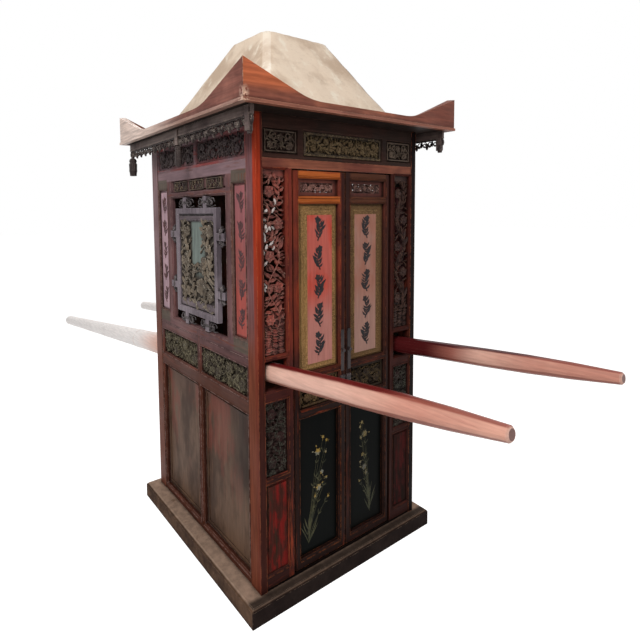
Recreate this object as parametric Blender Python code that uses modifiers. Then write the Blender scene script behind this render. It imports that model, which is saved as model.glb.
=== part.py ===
# A carried palanquin: a lacquered timber cabin on a plinth, with two pivoted door leaves,
# carved side walls, an upswept eave, a canvas roof and two long carrying poles.
# Metres, +Z up. The doors face -Y, +X is to the right of someone who looks at them,
# and the origin lies under the middle of the plinth.

from math import atan, cos, hypot, pi, sin

import bmesh
import bpy
from mathutils import Matrix, Vector

# Cabin and plinth
CABIN_WIDTH = 0.720
CABIN_DEPTH = 0.784
CABIN_TOP = 1.530
PLINTH_SIDE_LEDGE = 0.054
PLINTH_END_LEDGE = 0.033
PLINTH_HEIGHT = 0.060
PLINTH_CHAMFER = 0.008
PLINTH_RAIL = 0.115
PLINTH_BEARER = 0.060
FLOOR_THICKNESS = 0.012

# Gaps: between pieces that touch, and round a moving piece
SEAT_GAP = 0.0003
RUN_GAP = 0.005
PIN_GAP = 0.0006
CUT_OVERRUN = 0.010

# Corner posts and walls
POST_WIDTH = 0.023
POST_DEPTH = 0.054
FRAME_SETBACK = 0.002
FRONT_FRAME_THICKNESS = 0.024
SIDE_FRAME_THICKNESS = 0.016
BACK_FRAME_THICKNESS = 0.018
WALL_PANEL_THICKNESS = 0.006
PANEL_LAP = 0.010

# Sloped edges round the openings of the frames, and the sunk fields of the pierced friezes
MOULDING = 0.0045
CARVING_MOULDING = 0.009
MOULDING_OVERRUN = 0.002
FRIEZE_SINK = 0.008
BEAD_MARGIN = 0.012
BEAD_WIDTH = 0.007
BEAD_RISE = 0.0025

# Front wall, heights of its rails
SILL_TOP = 0.068
BAY_FOOT = 0.110
RED_PANEL_TOP = 0.397
BAY_CARVING_LOW = 0.422
POLE_RAIL_BELOW = 0.038
POLE_RAIL_ABOVE = 0.017
BAY_OPENWORK_TOP = 1.366
HEAD_LOW = 1.372
HEAD_TOP = 1.400
FRIEZE_LOW = 1.413
FRIEZE_TOP = 1.489

# Front wall, widths inwards from the posts
BAY_EDGE = 0.005
BAY_WIDTH = 0.0827
JAMB_WIDTH = 0.0215
FRIEZE_END_WIDTH = 0.1307
FRIEZE_MUNTIN = 0.025
BAY_BOARD_THICKNESS = 0.010
FRIEZE_BOARD_THICKNESS = 0.010

# Door leaves
LEAF_FRAME_THICKNESS = 0.0148
LEAF_STILE = 0.026
PIVOT_RADIUS = 0.011
PIN_RADIUS = 0.004
PIN_LENGTH = 0.011
DOOR_FOOT_RAIL = 0.028
LACQUER_TOP = 0.571
WAIST_LOW = 0.604
WAIST_TOP = 0.698
COUPLET_LOW = 0.722
COUPLET_TOP = 1.264
DOOR_CARVING_LOW = 1.289
DOOR_CARVING_TOP = 1.343
COUPLET_MARGIN = 0.014
COUPLET_BORDER = 0.020
FIELD_RISE = 0.003
FIELD_SLOPE = 0.002
PULL_LOW = 0.700
PULL_HIGH = 0.840
PULL_WIDTH = 0.014
PULL_THICKNESS = 0.003
PULL_KNOB_RADIUS = 0.006
PULL_KNOB_LENGTH = 0.008

# Side walls: heights, and widths inwards from the posts
SIDE_FOOT = 0.086
SIDE_PANEL_TOP = 0.607
SIDE_FRIEZE_LOW = 0.662
SIDE_FRIEZE_TOP = 0.757
SIDE_BELT = 0.790
WINDOW_LOW = 0.826
WINDOW_TOP = 1.297
WINDOW_STILE = 0.043
FRET_LOW = 1.321
FRET_TOP = 1.359
SIDE_MUNTIN = 0.026
SIDE_STILE = 0.013
STRIP_BAY_WIDTH = 0.0807
STRIP_BAY_LOW = 0.846
STRIP_BAY_TOP = 1.330
STRIP_MARGIN = 0.008
SASH_MARGIN = 0.051
SASH_LOW = 0.868
SASH_TOP = 1.257
SASH_RAIL = 0.022
SASH_PROUD = 0.006
SASH_THICKNESS = 0.018
SASH_BOARD_THICKNESS = 0.008
SASH_BLOCK_WIDTH = 0.024
SASH_BLOCK_SHARES = (0.25, 0.75)
TOP_FRIEZE_LOW = 1.414
TOP_FRIEZE_TOP = 1.488

# Back wall
BACK_STILE = 0.026
BACK_HOLE_HEIGHT = 0.096
BACK_RAIL_BELOW = 0.0255
BACK_RAIL_ABOVE = 0.0235
BACK_RAIL = 0.030

# Roof
DECK_THICKNESS = 0.018
EAVE_SIDE_OVERHANG = 0.099
EAVE_END_OVERHANG = 0.095
EAVE_THICKNESS = 0.018
EAVE_MIDDLE_HEIGHT = 0.027
EAVE_CORNER_HEIGHT = 0.112
EAVE_SWEEP_START_SHARE = 0.40
EAVE_SWEEP_END_SHARE = 0.60
EAVE_SWEEP_STEPS = 7
EAVE_LIP_HEIGHT = 0.009
EAVE_LIP_RISE = 0.003
GUTTER_SIDE = 0.131
GUTTER_FRONT = 0.097
GUTTER_REAR = 0.004
DOME_TOP_LEFT = 0.122
DOME_TOP_RIGHT = 0.157
DOME_TOP_FRONT = 0.123
DOME_TOP_REAR = 0.097
DOME_TOP = 1.886
DOME_SKIN = 0.008
DOME_HIP = 0.026
DOME_ROUNDING = 0.006

# Valances under the two side eaves
VALANCE_SETBACK = 0.015
VALANCE_THICKNESS = 0.012
VALANCE_LACE_TOP = 1.503
VALANCE_LACE_LOW = 1.470
VALANCE_SCALLOP = 0.007
VALANCE_SCALLOPS = 14
PENDANT_FOOT = 1.405
PENDANT_SHORT_FOOT = 1.455
PENDANT_HALF_WIDTH = 0.017

# Seat bench
SEAT_TOP = 0.420
SEAT_BOARD = 0.020
SEAT_FRONT = 0.020
SEAT_OVERHANG = 0.014
SEAT_RISER = 0.014

# Carrying poles: the axis's distance from the posts, its height at the back wall, where a
# pole rests on its hole's lower edge, its room in the front hole, the place of each front tip
# ahead of the cabin, and the radii and lengths along a pole
POLE_FROM_POST = 0.0377
POLE_REST_HEIGHT = 0.657
POLE_CLEARANCE = 0.0057
LEFT_TIP_REACH = 0.728
LEFT_TIP_HEIGHT = 0.835
RIGHT_TIP_REACH = 0.703
RIGHT_TIP_HEIGHT = 0.802
POLE_END_CHAMFER = 0.004
POLE_SIDES = 16
POLE_TIP_RADIUS = 0.0165
POLE_SHANK_RADIUS = 0.0300
POLE_BODY_RADIUS = 0.0310
POLE_SHOULDER_RADIUS = 0.0470
POLE_BUTT_RADIUS = 0.0320
POLE_TAPER_LENGTH = 0.370
POLE_TAPER_SHARES = (1.0, 0.66, 0.33)
POLE_SHOULDER_START = 1.546
POLE_SHOULDER_LENGTH = 0.030
POLE_REAR_LENGTH = 1.844
POLE_RING_OFFSET = 0.302
POLE_RING_WIDTH = 0.009
POLE_RING_RISE = 0.0012

# Pierced foliage: fans of leaf holes on either side of a stem, their pitch a share of the band's
# width. Each row of a fan gives a hole's turn from the way the fan opens, and its length as a
# share of that width.
HOLE_POINTS = 6
FAN_PITCH_SHARE = 0.70
LACE_PITCH_SHARE = 1.90
FAN_ROOT_SHARE = 0.26
FAN_SHARES = ((-1.2, 0.40), (0.0, 0.50), (1.2, 0.40))
HOLE_START_SHARE = 0.10
HOLE_WIDTH_SHARE = 0.36

# Angular fret over the window
FRET_PITCH = 0.034
FRET_BAR = 0.006

HALF_WIDTH = CABIN_WIDTH / 2
HALF_DEPTH = CABIN_DEPTH / 2
WALL_FOOT = PLINTH_HEIGHT + SEAT_GAP
WALL_TOP = CABIN_TOP - SEAT_GAP
POST_INNER_X = HALF_WIDTH - POST_WIDTH
POST_INNER_Y = HALF_DEPTH - POST_DEPTH
BETWEEN_POSTS_X = POST_INNER_X - SEAT_GAP
BETWEEN_POSTS_Y = POST_INNER_Y - SEAT_GAP
FRONT_FACE = -HALF_DEPTH + FRAME_SETBACK
FRONT_BACK = FRONT_FACE + FRONT_FRAME_THICKNESS
SIDE_FACE = HALF_WIDTH - FRAME_SETBACK
SIDE_BACK = SIDE_FACE - SIDE_FRAME_THICKNESS
SIDE_PANEL_FACE = SIDE_BACK - SEAT_GAP
SIDE_PANEL_BACK = SIDE_PANEL_FACE - WALL_PANEL_THICKNESS
BACK_FACE = HALF_DEPTH - FRAME_SETBACK
BACK_INNER = BACK_FACE - BACK_FRAME_THICKNESS
BACK_PANEL_FACE = BACK_INNER - SEAT_GAP
BACK_PANEL_BACK = BACK_PANEL_FACE - WALL_PANEL_THICKNESS
EAVE_HALF_WIDTH = HALF_WIDTH + EAVE_SIDE_OVERHANG
EAVE_HALF_DEPTH = HALF_DEPTH + EAVE_END_OVERHANG
EAVE_INNER_X = EAVE_HALF_WIDTH - EAVE_THICKNESS
EAVE_INNER_Y = EAVE_HALF_DEPTH - EAVE_THICKNESS
BAY_OUTER = BETWEEN_POSTS_X - BAY_EDGE
JAMB_OUTER = BAY_OUTER - BAY_WIDTH
JAMB_INNER = JAMB_OUTER - JAMB_WIDTH
FRIEZE_MUNTIN_OUTER = BAY_OUTER - FRIEZE_END_WIDTH
FRIEZE_MUNTIN_INNER = FRIEZE_MUNTIN_OUTER - FRIEZE_MUNTIN
BACK_STILE_INNER = JAMB_OUTER - BACK_STILE
STRIP_BAY_OUTER = BETWEEN_POSTS_Y - BAY_EDGE
STRIP_BAY_INNER = STRIP_BAY_OUTER - STRIP_BAY_WIDTH
WINDOW_HALF = STRIP_BAY_INNER - WINDOW_STILE
SASH_HALF = WINDOW_HALF - SASH_MARGIN
POLE_OFFSET = BETWEEN_POSTS_X - POLE_FROM_POST

# Each pole's name, its side, and the place of its front tip
POLES = (("left", -1, -HALF_DEPTH - LEFT_TIP_REACH, LEFT_TIP_HEIGHT),
         ("right", 1, -HALF_DEPTH - RIGHT_TIP_REACH, RIGHT_TIP_HEIGHT))


def pole_fall(tip_y, tip_z):
    """How far a pole falls for each metre rearwards, from its tip to its rest."""
    return (tip_z - POLE_REST_HEIGHT) / (BACK_FACE - tip_y)


def pole_height(tip_y, tip_z, y):
    """Height of a pole's axis at a place along the cabin."""
    return POLE_REST_HEIGHT + pole_fall(tip_y, tip_z) * (BACK_FACE - y)


POLE_HALF_HEIGHT = POLE_BODY_RADIUS * hypot(1, max(pole_fall(tip_y, tip_z) for _, _, tip_y, tip_z in POLES))
BACK_HOLE_LOW = POLE_REST_HEIGHT - POLE_HALF_HEIGHT - SEAT_GAP
BACK_HOLE_TOP = BACK_HOLE_LOW + BACK_HOLE_HEIGHT
BACK_BAY_TOP = BACK_HOLE_LOW - BACK_RAIL_BELOW
BACK_UPPER_LOW = BACK_HOLE_TOP + BACK_RAIL_ABOVE
LOWEST_PASS = min(pole_height(tip_y, tip_z, FRONT_BACK) for _, _, tip_y, tip_z in POLES)
HIGHEST_PASS = max(pole_height(tip_y, tip_z, FRONT_FACE) for _, _, tip_y, tip_z in POLES)
POLE_HOLE_LOW = LOWEST_PASS - POLE_HALF_HEIGHT - POLE_CLEARANCE
POLE_HOLE_TOP = HIGHEST_PASS + POLE_HALF_HEIGHT + POLE_CLEARANCE
BAY_CARVING_TOP = POLE_HOLE_LOW - POLE_RAIL_BELOW
BAY_OPENWORK_LOW = POLE_HOLE_TOP + POLE_RAIL_ABOVE

# Finishes: colour, roughness, metallic
FINISHES = {
    "plinth_timber": ((0.20, 0.12, 0.08), 0.75, 0.0),
    "red_lacquer": ((0.33, 0.06, 0.03), 0.45, 0.0),
    "brown_lacquer": ((0.14, 0.06, 0.05), 0.50, 0.0),
    "carved_wood": ((0.10, 0.05, 0.04), 0.60, 0.0),
    "red_panel": ((0.30, 0.04, 0.03), 0.55, 0.0),
    "faded_red": ((0.42, 0.12, 0.10), 0.60, 0.0),
    "black_lacquer": ((0.012, 0.014, 0.014), 0.30, 0.0),
    "side_panel": ((0.11, 0.07, 0.05), 0.50, 0.0),
    "gilt_board": ((0.30, 0.20, 0.08), 0.50, 0.2),
    "iron": ((0.05, 0.05, 0.05), 0.55, 0.9),
    "roof_boards": ((0.36, 0.11, 0.05), 0.50, 0.0),
    "roof_deck": ((0.03, 0.02, 0.02), 0.80, 0.0),
    "canvas": ((0.66, 0.52, 0.41), 0.90, 0.0),
    "pole_wood": ((0.62, 0.30, 0.22), 0.40, 0.0),
    "bench_wood": ((0.20, 0.10, 0.06), 0.60, 0.0),
}

# Turns that lay a drawn outline in a plane: its x and y, then its thickness
PLANES = {
    "front": ((pi / 2, 0, 0), Vector((0, 1, 0))),
    "side": ((pi / 2, 0, pi / 2), Vector((1, 0, 0))),
    "level": ((0, 0, 0), Vector((0, 0, 1))),
}


def clear_scene():
    for thing in list(bpy.data.objects):
        bpy.data.objects.remove(thing, do_unlink=True)


def new_collection(name):
    collection = bpy.data.collections.new(name)
    bpy.context.scene.collection.children.link(collection)
    return collection


def finish(thing, kind):
    """Give a part its own material."""
    colour, roughness, metallic = FINISHES[kind]
    material = bpy.data.materials.new(thing.name + "_" + kind)
    material.use_nodes = True
    shader = material.node_tree.nodes["Principled BSDF"]
    shader.inputs["Base Color"].default_value = (*colour, 1)
    shader.inputs["Roughness"].default_value = roughness
    shader.inputs["Metallic"].default_value = metallic
    thing.data.materials.append(material)
    return thing


def as_cutter(thing):
    """Keep a shape only for cutting or joining another."""
    CUTTERS.objects.link(thing)
    PARTS.objects.unlink(thing)
    thing.hide_render = True
    thing.display_type = "WIRE"
    return thing


def rectangle(x_low, x_high, y_low, y_high):
    return [(x_low, y_low), (x_high, y_low), (x_high, y_high), (x_low, y_high)]


def mirrored(outlines, side):
    return [[(side * x, y) for x, y in outline] for outline in outlines]


def circle(x, y, radius, points=12):
    return [(x + radius * cos(2 * pi * i / points), y + radius * sin(2 * pi * i / points))
            for i in range(points)]


def leaf_hole(x, y, turn, length):
    """One leaf-shaped hole that starts at a point and runs away from it."""
    points = []
    for i in range(HOLE_POINTS):
        along = length / 2 * (1 - cos(2 * pi * i / HOLE_POINTS))
        across = HOLE_WIDTH_SHARE * length / 2 * sin(2 * pi * i / HOLE_POINTS)
        points.append((x + along * cos(turn) - across * sin(turn),
                       y + along * sin(turn) + across * cos(turn)))
    return points


def foliage(x_low, x_high, y_low, y_high, pitch_share=FAN_PITCH_SHARE):
    """Fans of leaf holes that open to one side and the other of a stem along the longer way.
    A hole that would leave the field at its ends is left solid."""
    upright = y_high - y_low > x_high - x_low
    width = min(x_high - x_low, y_high - y_low)
    length = max(x_high - x_low, y_high - y_low)
    fans = max(2, round(length / (pitch_share * width)))
    holes = []
    for fan in range(fans):
        side = 1 if fan % 2 else -1
        along = (2 * fan + 1) * length / (2 * fans)
        across = width / 2 - side * FAN_ROOT_SHARE * width
        opening = (0 if upright else pi / 2) + (0 if side > 0 else pi)
        root = (x_low + across, y_low + along) if upright else (x_low + along, y_low + across)
        for turn, length_share in FAN_SHARES:
            heading = opening + turn
            start = (root[0] + HOLE_START_SHARE * width * cos(heading),
                     root[1] + HOLE_START_SHARE * width * sin(heading))
            hole = leaf_hole(*start, heading, length_share * width)
            if all(x_low < x < x_high and y_low < y < y_high for x, y in hole):
                holes.append(hole)
    return holes


def fret(x_low, x_high, y_low, y_high):
    """A row of hooked slots, up and down in turn, that leave an angular fret between them."""
    count = max(1, round((x_high - x_low) / FRET_PITCH))
    pitch = (x_high - x_low) / count
    holes = []
    for i in range(count):
        left, right = x_low + i * pitch + FRET_BAR / 2, x_low + (i + 1) * pitch - FRET_BAR / 2
        inner = (left + right + FRET_BAR) / 2
        hook = [(left, y_low), (right, y_low), (right, y_high - FRET_BAR), (inner, y_high - FRET_BAR),
                (inner, y_low + FRET_BAR), (left, y_low + FRET_BAR)]
        if i % 2:
            hook = [(x, y_low + y_high - y) for x, y in hook]
        holes.append(hook)
    return holes


def lay(plane, x, y, depth):
    """A drawn point's place in the cabin, at a depth along its wall's normal."""
    return Vector((x, depth, y)) if plane == "front" else Vector((depth, x, y))


def board(name, outlines, plane, low, high, kind):
    """A flat board between two faces: the first outline is its edge, the rest are holes."""
    curve = bpy.data.curves.new(name, "CURVE")
    curve.dimensions = "2D"
    curve.fill_mode = "BOTH"
    curve.extrude = (high - low) / 2
    for outline in outlines:
        spline = curve.splines.new("POLY")
        spline.points.add(len(outline) - 1)
        for point, (x, y) in zip(spline.points, outline):
            point.co = (x, y, 0, 1)
        spline.use_cyclic_u = True
    thing = bpy.data.objects.new(name, curve)
    turn, normal = PLANES[plane]
    thing.rotation_euler = turn
    thing.location = normal * (low + high) / 2
    PARTS.objects.link(thing)
    return finish(thing, kind)


def as_mesh(thing, kind):
    """Turn a drawn board into a welded mesh that can be cut or joined."""
    bpy.context.view_layer.update()
    solid = thing.evaluated_get(bpy.context.evaluated_depsgraph_get())
    mesh = bpy.data.meshes.new_from_object(solid)
    shape = bmesh.new()
    shape.from_mesh(mesh)
    bmesh.ops.remove_doubles(shape, verts=shape.verts, dist=SEAT_GAP / 10)
    shape.to_mesh(mesh)
    shape.free()
    mesh.materials.clear()
    name = thing.name
    placed = thing.matrix_world.copy()
    bpy.data.objects.remove(thing, do_unlink=True)
    made = bpy.data.objects.new(name, mesh)
    made.matrix_world = placed
    PARTS.objects.link(made)
    return finish(made, kind)


def block(name, x_span, y_span, z_span, kind):
    """A squared timber, its sides along the axes."""
    spans = (x_span, y_span, z_span)
    mesh = bpy.data.meshes.new(name)
    shape = bmesh.new()
    bmesh.ops.create_cube(shape, size=1)
    size = Matrix.Diagonal([high - low for low, high in spans] + [1])
    bmesh.ops.transform(shape, matrix=size, verts=shape.verts)
    shape.to_mesh(mesh)
    shape.free()
    thing = bpy.data.objects.new(name, mesh)
    thing.location = [(low + high) / 2 for low, high in spans]
    PARTS.objects.link(thing)
    return finish(thing, kind)


def raise_fields(thing, normal, frames):
    """Draw a field out of a board's face: an edge width, then a rise, for each frame."""
    shape = bmesh.new()
    shape.from_mesh(thing.data)
    shape.faces.ensure_lookup_table()
    face = max(shape.faces, key=lambda f: f.calc_center_median().dot(Vector(normal)))
    for edge, rise in frames:
        bmesh.ops.inset_region(shape, faces=[face], thickness=edge, depth=0)
        bmesh.ops.inset_region(shape, faces=[face], thickness=FIELD_SLOPE, depth=rise)
    shape.to_mesh(thing.data)
    shape.free()
    return thing


def turned(name, profile, kind, steps):
    """A turned piece about its own Z axis; the profile runs from its top to its foot."""
    mesh = bpy.data.meshes.new(name)
    mesh.from_pydata([(radius, 0, height) for radius, height in profile],
                     [(i, i + 1) for i in range(len(profile) - 1)], [])
    thing = bpy.data.objects.new(name, mesh)
    PARTS.objects.link(thing)
    screw = thing.modifiers.new("turn", "SCREW")
    screw.steps = steps
    screw.render_steps = steps
    screw.use_merge_vertices = True
    screw.merge_threshold = SEAT_GAP / 10
    screw.use_smooth_shade = True
    return finish(thing, kind)


def join_to(thing, other):
    """Unite a part with a helper shape."""
    union = thing.modifiers.new("join_" + other.name, "BOOLEAN")
    union.operation = "UNION"
    union.solver = "EXACT"
    union.object = as_cutter(other)


def cut_from(thing, other):
    """Cut a helper shape out of a part. A drawn board's flat ends hold slivers where its points
    line up, and the cut stays closed there only with the self-intersection test."""
    cut = thing.modifiers.new("cut_" + other.name, "BOOLEAN")
    cut.operation = "DIFFERENCE"
    cut.solver = "EXACT"
    cut.use_self = True
    cut.object = as_cutter(other)


def mould(thing, plane, face, inward, openings):
    """Cut a sloped edge into a board's face round each opening. Each opening is its outline's
    x_low, x_high, y_low and y_high, the slope's height, and the depth of a sunk field or None."""
    shape = bmesh.new()
    for x_low, x_high, y_low, y_high, slope, sink in openings:
        floor = sink or MOULDING
        bottom = sink or MOULDING + MOULDING_OVERRUN
        for vert in bmesh.ops.create_cube(shape, size=1)["verts"]:
            depth = bottom if vert.co.z > 0 else -MOULDING_OVERRUN
            share = 1 - depth / floor
            x = x_high + MOULDING * share if vert.co.x > 0 else x_low - MOULDING * share
            y = y_high + slope * share if vert.co.y > 0 else y_low - slope * share
            vert.co = lay(plane, x, y, face + inward * depth)
    if shape.calc_volume(signed=True) < 0:
        bmesh.ops.reverse_faces(shape, faces=shape.faces)
    mesh = bpy.data.meshes.new(thing.name + "_moulding")
    shape.to_mesh(mesh)
    shape.free()
    cutter = bpy.data.objects.new(mesh.name, mesh)
    PARTS.objects.link(cutter)
    cut_from(thing, cutter)
    return thing


def hang_on(pivot, things):
    """Parent pieces to an empty without moving them."""
    bpy.context.view_layer.update()
    for thing in things:
        thing.parent = pivot
        thing.matrix_parent_inverse = pivot.matrix_world.inverted()


def make_plinth():
    """Four timbers and a middle bearer, chamfered round the top, with the floor board on them."""
    half_x, half_y = HALF_WIDTH + PLINTH_SIDE_LEDGE, HALF_DEPTH + PLINTH_END_LEDGE
    plinth = block("plinth", (-half_x, half_x), (-half_y, half_y), (0, PLINTH_HEIGHT), "plinth_timber")
    shape = bmesh.new()
    shape.from_mesh(plinth.data)
    top_edges = [edge for edge in shape.edges if all(vert.co.z > 0 for vert in edge.verts)]
    bmesh.ops.bevel(shape, geom=top_edges, offset=PLINTH_CHAMFER, offset_type="OFFSET",
                    segments=1, affect="EDGES")
    shape.to_mesh(plinth.data)
    shape.free()
    inner_x, inner_y = half_x - PLINTH_RAIL, half_y - PLINTH_RAIL
    for name, low, high in (("front", -inner_y, -PLINTH_BEARER / 2), ("rear", PLINTH_BEARER / 2, inner_y)):
        cut_from(plinth, block("plinth_well_" + name, (-inner_x, inner_x), (low, high),
                               (-CUT_OVERRUN, PLINTH_HEIGHT + CUT_OVERRUN), "plinth_timber"))
    reach = SIDE_PANEL_BACK - SEAT_GAP
    block("floor_board", (-reach, reach), (FRONT_BACK + SEAT_GAP, BACK_PANEL_BACK - SEAT_GAP),
          (WALL_FOOT, WALL_FOOT + FLOOR_THICKNESS), "bench_wood")


def make_posts():
    """Four corner posts, from the plinth to the underside of the roof."""
    for y_name, y_side in (("front", -1), ("rear", 1)):
        for x_name, x_side in (("left", -1), ("right", 1)):
            x_span = sorted((x_side * POST_INNER_X, x_side * HALF_WIDTH))
            y_span = sorted((y_side * POST_INNER_Y, y_side * HALF_DEPTH))
            block(f"post_{y_name}_{x_name}", x_span, y_span, (WALL_FOOT, WALL_TOP), "red_lacquer")


def pivot_x():
    """Distance of a door's pivot from the middle of the front."""
    return JAMB_INNER - RUN_GAP - PIVOT_RADIUS


def leaf_face():
    """The doors' front face, flush with the frame."""
    return FRONT_FACE + FIELD_SLOPE / 2


def make_front():
    """Sill and head with the pivots' sockets, the two side bays, and the frieze over them."""
    pivot_y = leaf_face() + PIVOT_RADIUS
    sockets = [circle(side * pivot_x(), pivot_y, PIN_RADIUS + PIN_GAP) for side in (-1, 1)]
    rail = rectangle(-BETWEEN_POSTS_X, BETWEEN_POSTS_X, FRONT_FACE, FRONT_BACK)
    board("front_sill", [rail] + sockets, "level", WALL_FOOT, SILL_TOP, "red_lacquer")
    board("front_head_beam", [rail] + sockets, "level", HEAD_LOW, HEAD_TOP, "brown_lacquer")

    foot, head = SILL_TOP + SEAT_GAP, HEAD_LOW - SEAT_GAP
    bay_x = (JAMB_OUTER, BAY_OUTER)
    bay_holes = ((BAY_FOOT, RED_PANEL_TOP), (BAY_CARVING_LOW, BAY_CARVING_TOP),
                 (POLE_HOLE_LOW, POLE_HOLE_TOP), (BAY_OPENWORK_LOW, BAY_OPENWORK_TOP))
    frame = [rectangle(JAMB_INNER, BETWEEN_POSTS_X, foot, head)]
    frame += [rectangle(*bay_x, low, high) for low, high in bay_holes]
    inner_x = (bay_x[0] + SEAT_GAP, bay_x[1] - SEAT_GAP)
    openwork_z = (BAY_OPENWORK_LOW + SEAT_GAP, BAY_OPENWORK_TOP - SEAT_GAP)
    openwork = [rectangle(*inner_x, *openwork_z)] + foliage(*inner_x, *openwork_z)
    carving_z = (BAY_CARVING_LOW + SEAT_GAP, BAY_CARVING_TOP - SEAT_GAP)
    carving = [rectangle(*inner_x, *carving_z)] + foliage(*inner_x, *carving_z)
    board_back = FRONT_FACE + (FRONT_FRAME_THICKNESS + BAY_BOARD_THICKNESS) / 2
    for name, side in (("left", -1), ("right", 1)):
        made = board("bay_frame_" + name, mirrored(frame, side), "front",
                     FRONT_FACE, FRONT_BACK, "red_lacquer")
        span = sorted((side * bay_x[0], side * bay_x[1]))
        mould(as_mesh(made, "red_lacquer"), "front", FRONT_FACE, 1,
              [(*span, low, high, MOULDING, None) for low, high in bay_holes])
        board("bay_openwork_" + name, mirrored(openwork, side), "front",
              board_back - BAY_BOARD_THICKNESS, board_back, "carved_wood")
        board("bay_carving_" + name, mirrored(carving, side), "front",
              board_back - BAY_BOARD_THICKNESS, board_back, "carved_wood")
        panel = block("bay_red_panel_" + name, sorted((side * inner_x[0], side * inner_x[1])),
                      (board_back - BAY_BOARD_THICKNESS, board_back),
                      (BAY_FOOT + SEAT_GAP, RED_PANEL_TOP - SEAT_GAP), "red_panel")
        raise_fields(panel, (0, -1, 0), ((STRIP_MARGIN, FIELD_RISE),))

    frieze_foot = HEAD_TOP + SEAT_GAP
    centre = rectangle(-FRIEZE_MUNTIN_INNER, FRIEZE_MUNTIN_INNER, FRIEZE_LOW, FRIEZE_TOP)
    end_x = (FRIEZE_MUNTIN_OUTER + MOULDING, BAY_OUTER - MOULDING)
    end_z = (FRIEZE_LOW + MOULDING, FRIEZE_TOP - MOULDING)
    end_holes = foliage(*end_x, *end_z)
    made = board("front_frieze_frame",
                 [rectangle(-BETWEEN_POSTS_X, BETWEEN_POSTS_X, frieze_foot, WALL_TOP), centre]
                 + end_holes + mirrored(end_holes, -1),
                 "front", FRONT_FACE, FRONT_BACK, "brown_lacquer")
    mould(as_mesh(made, "brown_lacquer"), "front", FRONT_FACE, 1,
          [(-FRIEZE_MUNTIN_INNER, FRIEZE_MUNTIN_INNER, FRIEZE_LOW, FRIEZE_TOP, MOULDING, None),
           (*end_x, *end_z, MOULDING, FRIEZE_SINK), (-end_x[1], -end_x[0], *end_z, MOULDING, FRIEZE_SINK)])
    relief = block("front_frieze_centre",
                   (-FRIEZE_MUNTIN_INNER + SEAT_GAP, FRIEZE_MUNTIN_INNER - SEAT_GAP),
                   (board_back - FRIEZE_BOARD_THICKNESS, board_back),
                   (FRIEZE_LOW + SEAT_GAP, FRIEZE_TOP - SEAT_GAP), "carved_wood")
    raise_fields(relief, (0, -1, 0), ((STRIP_MARGIN, FIELD_RISE),))


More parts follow.
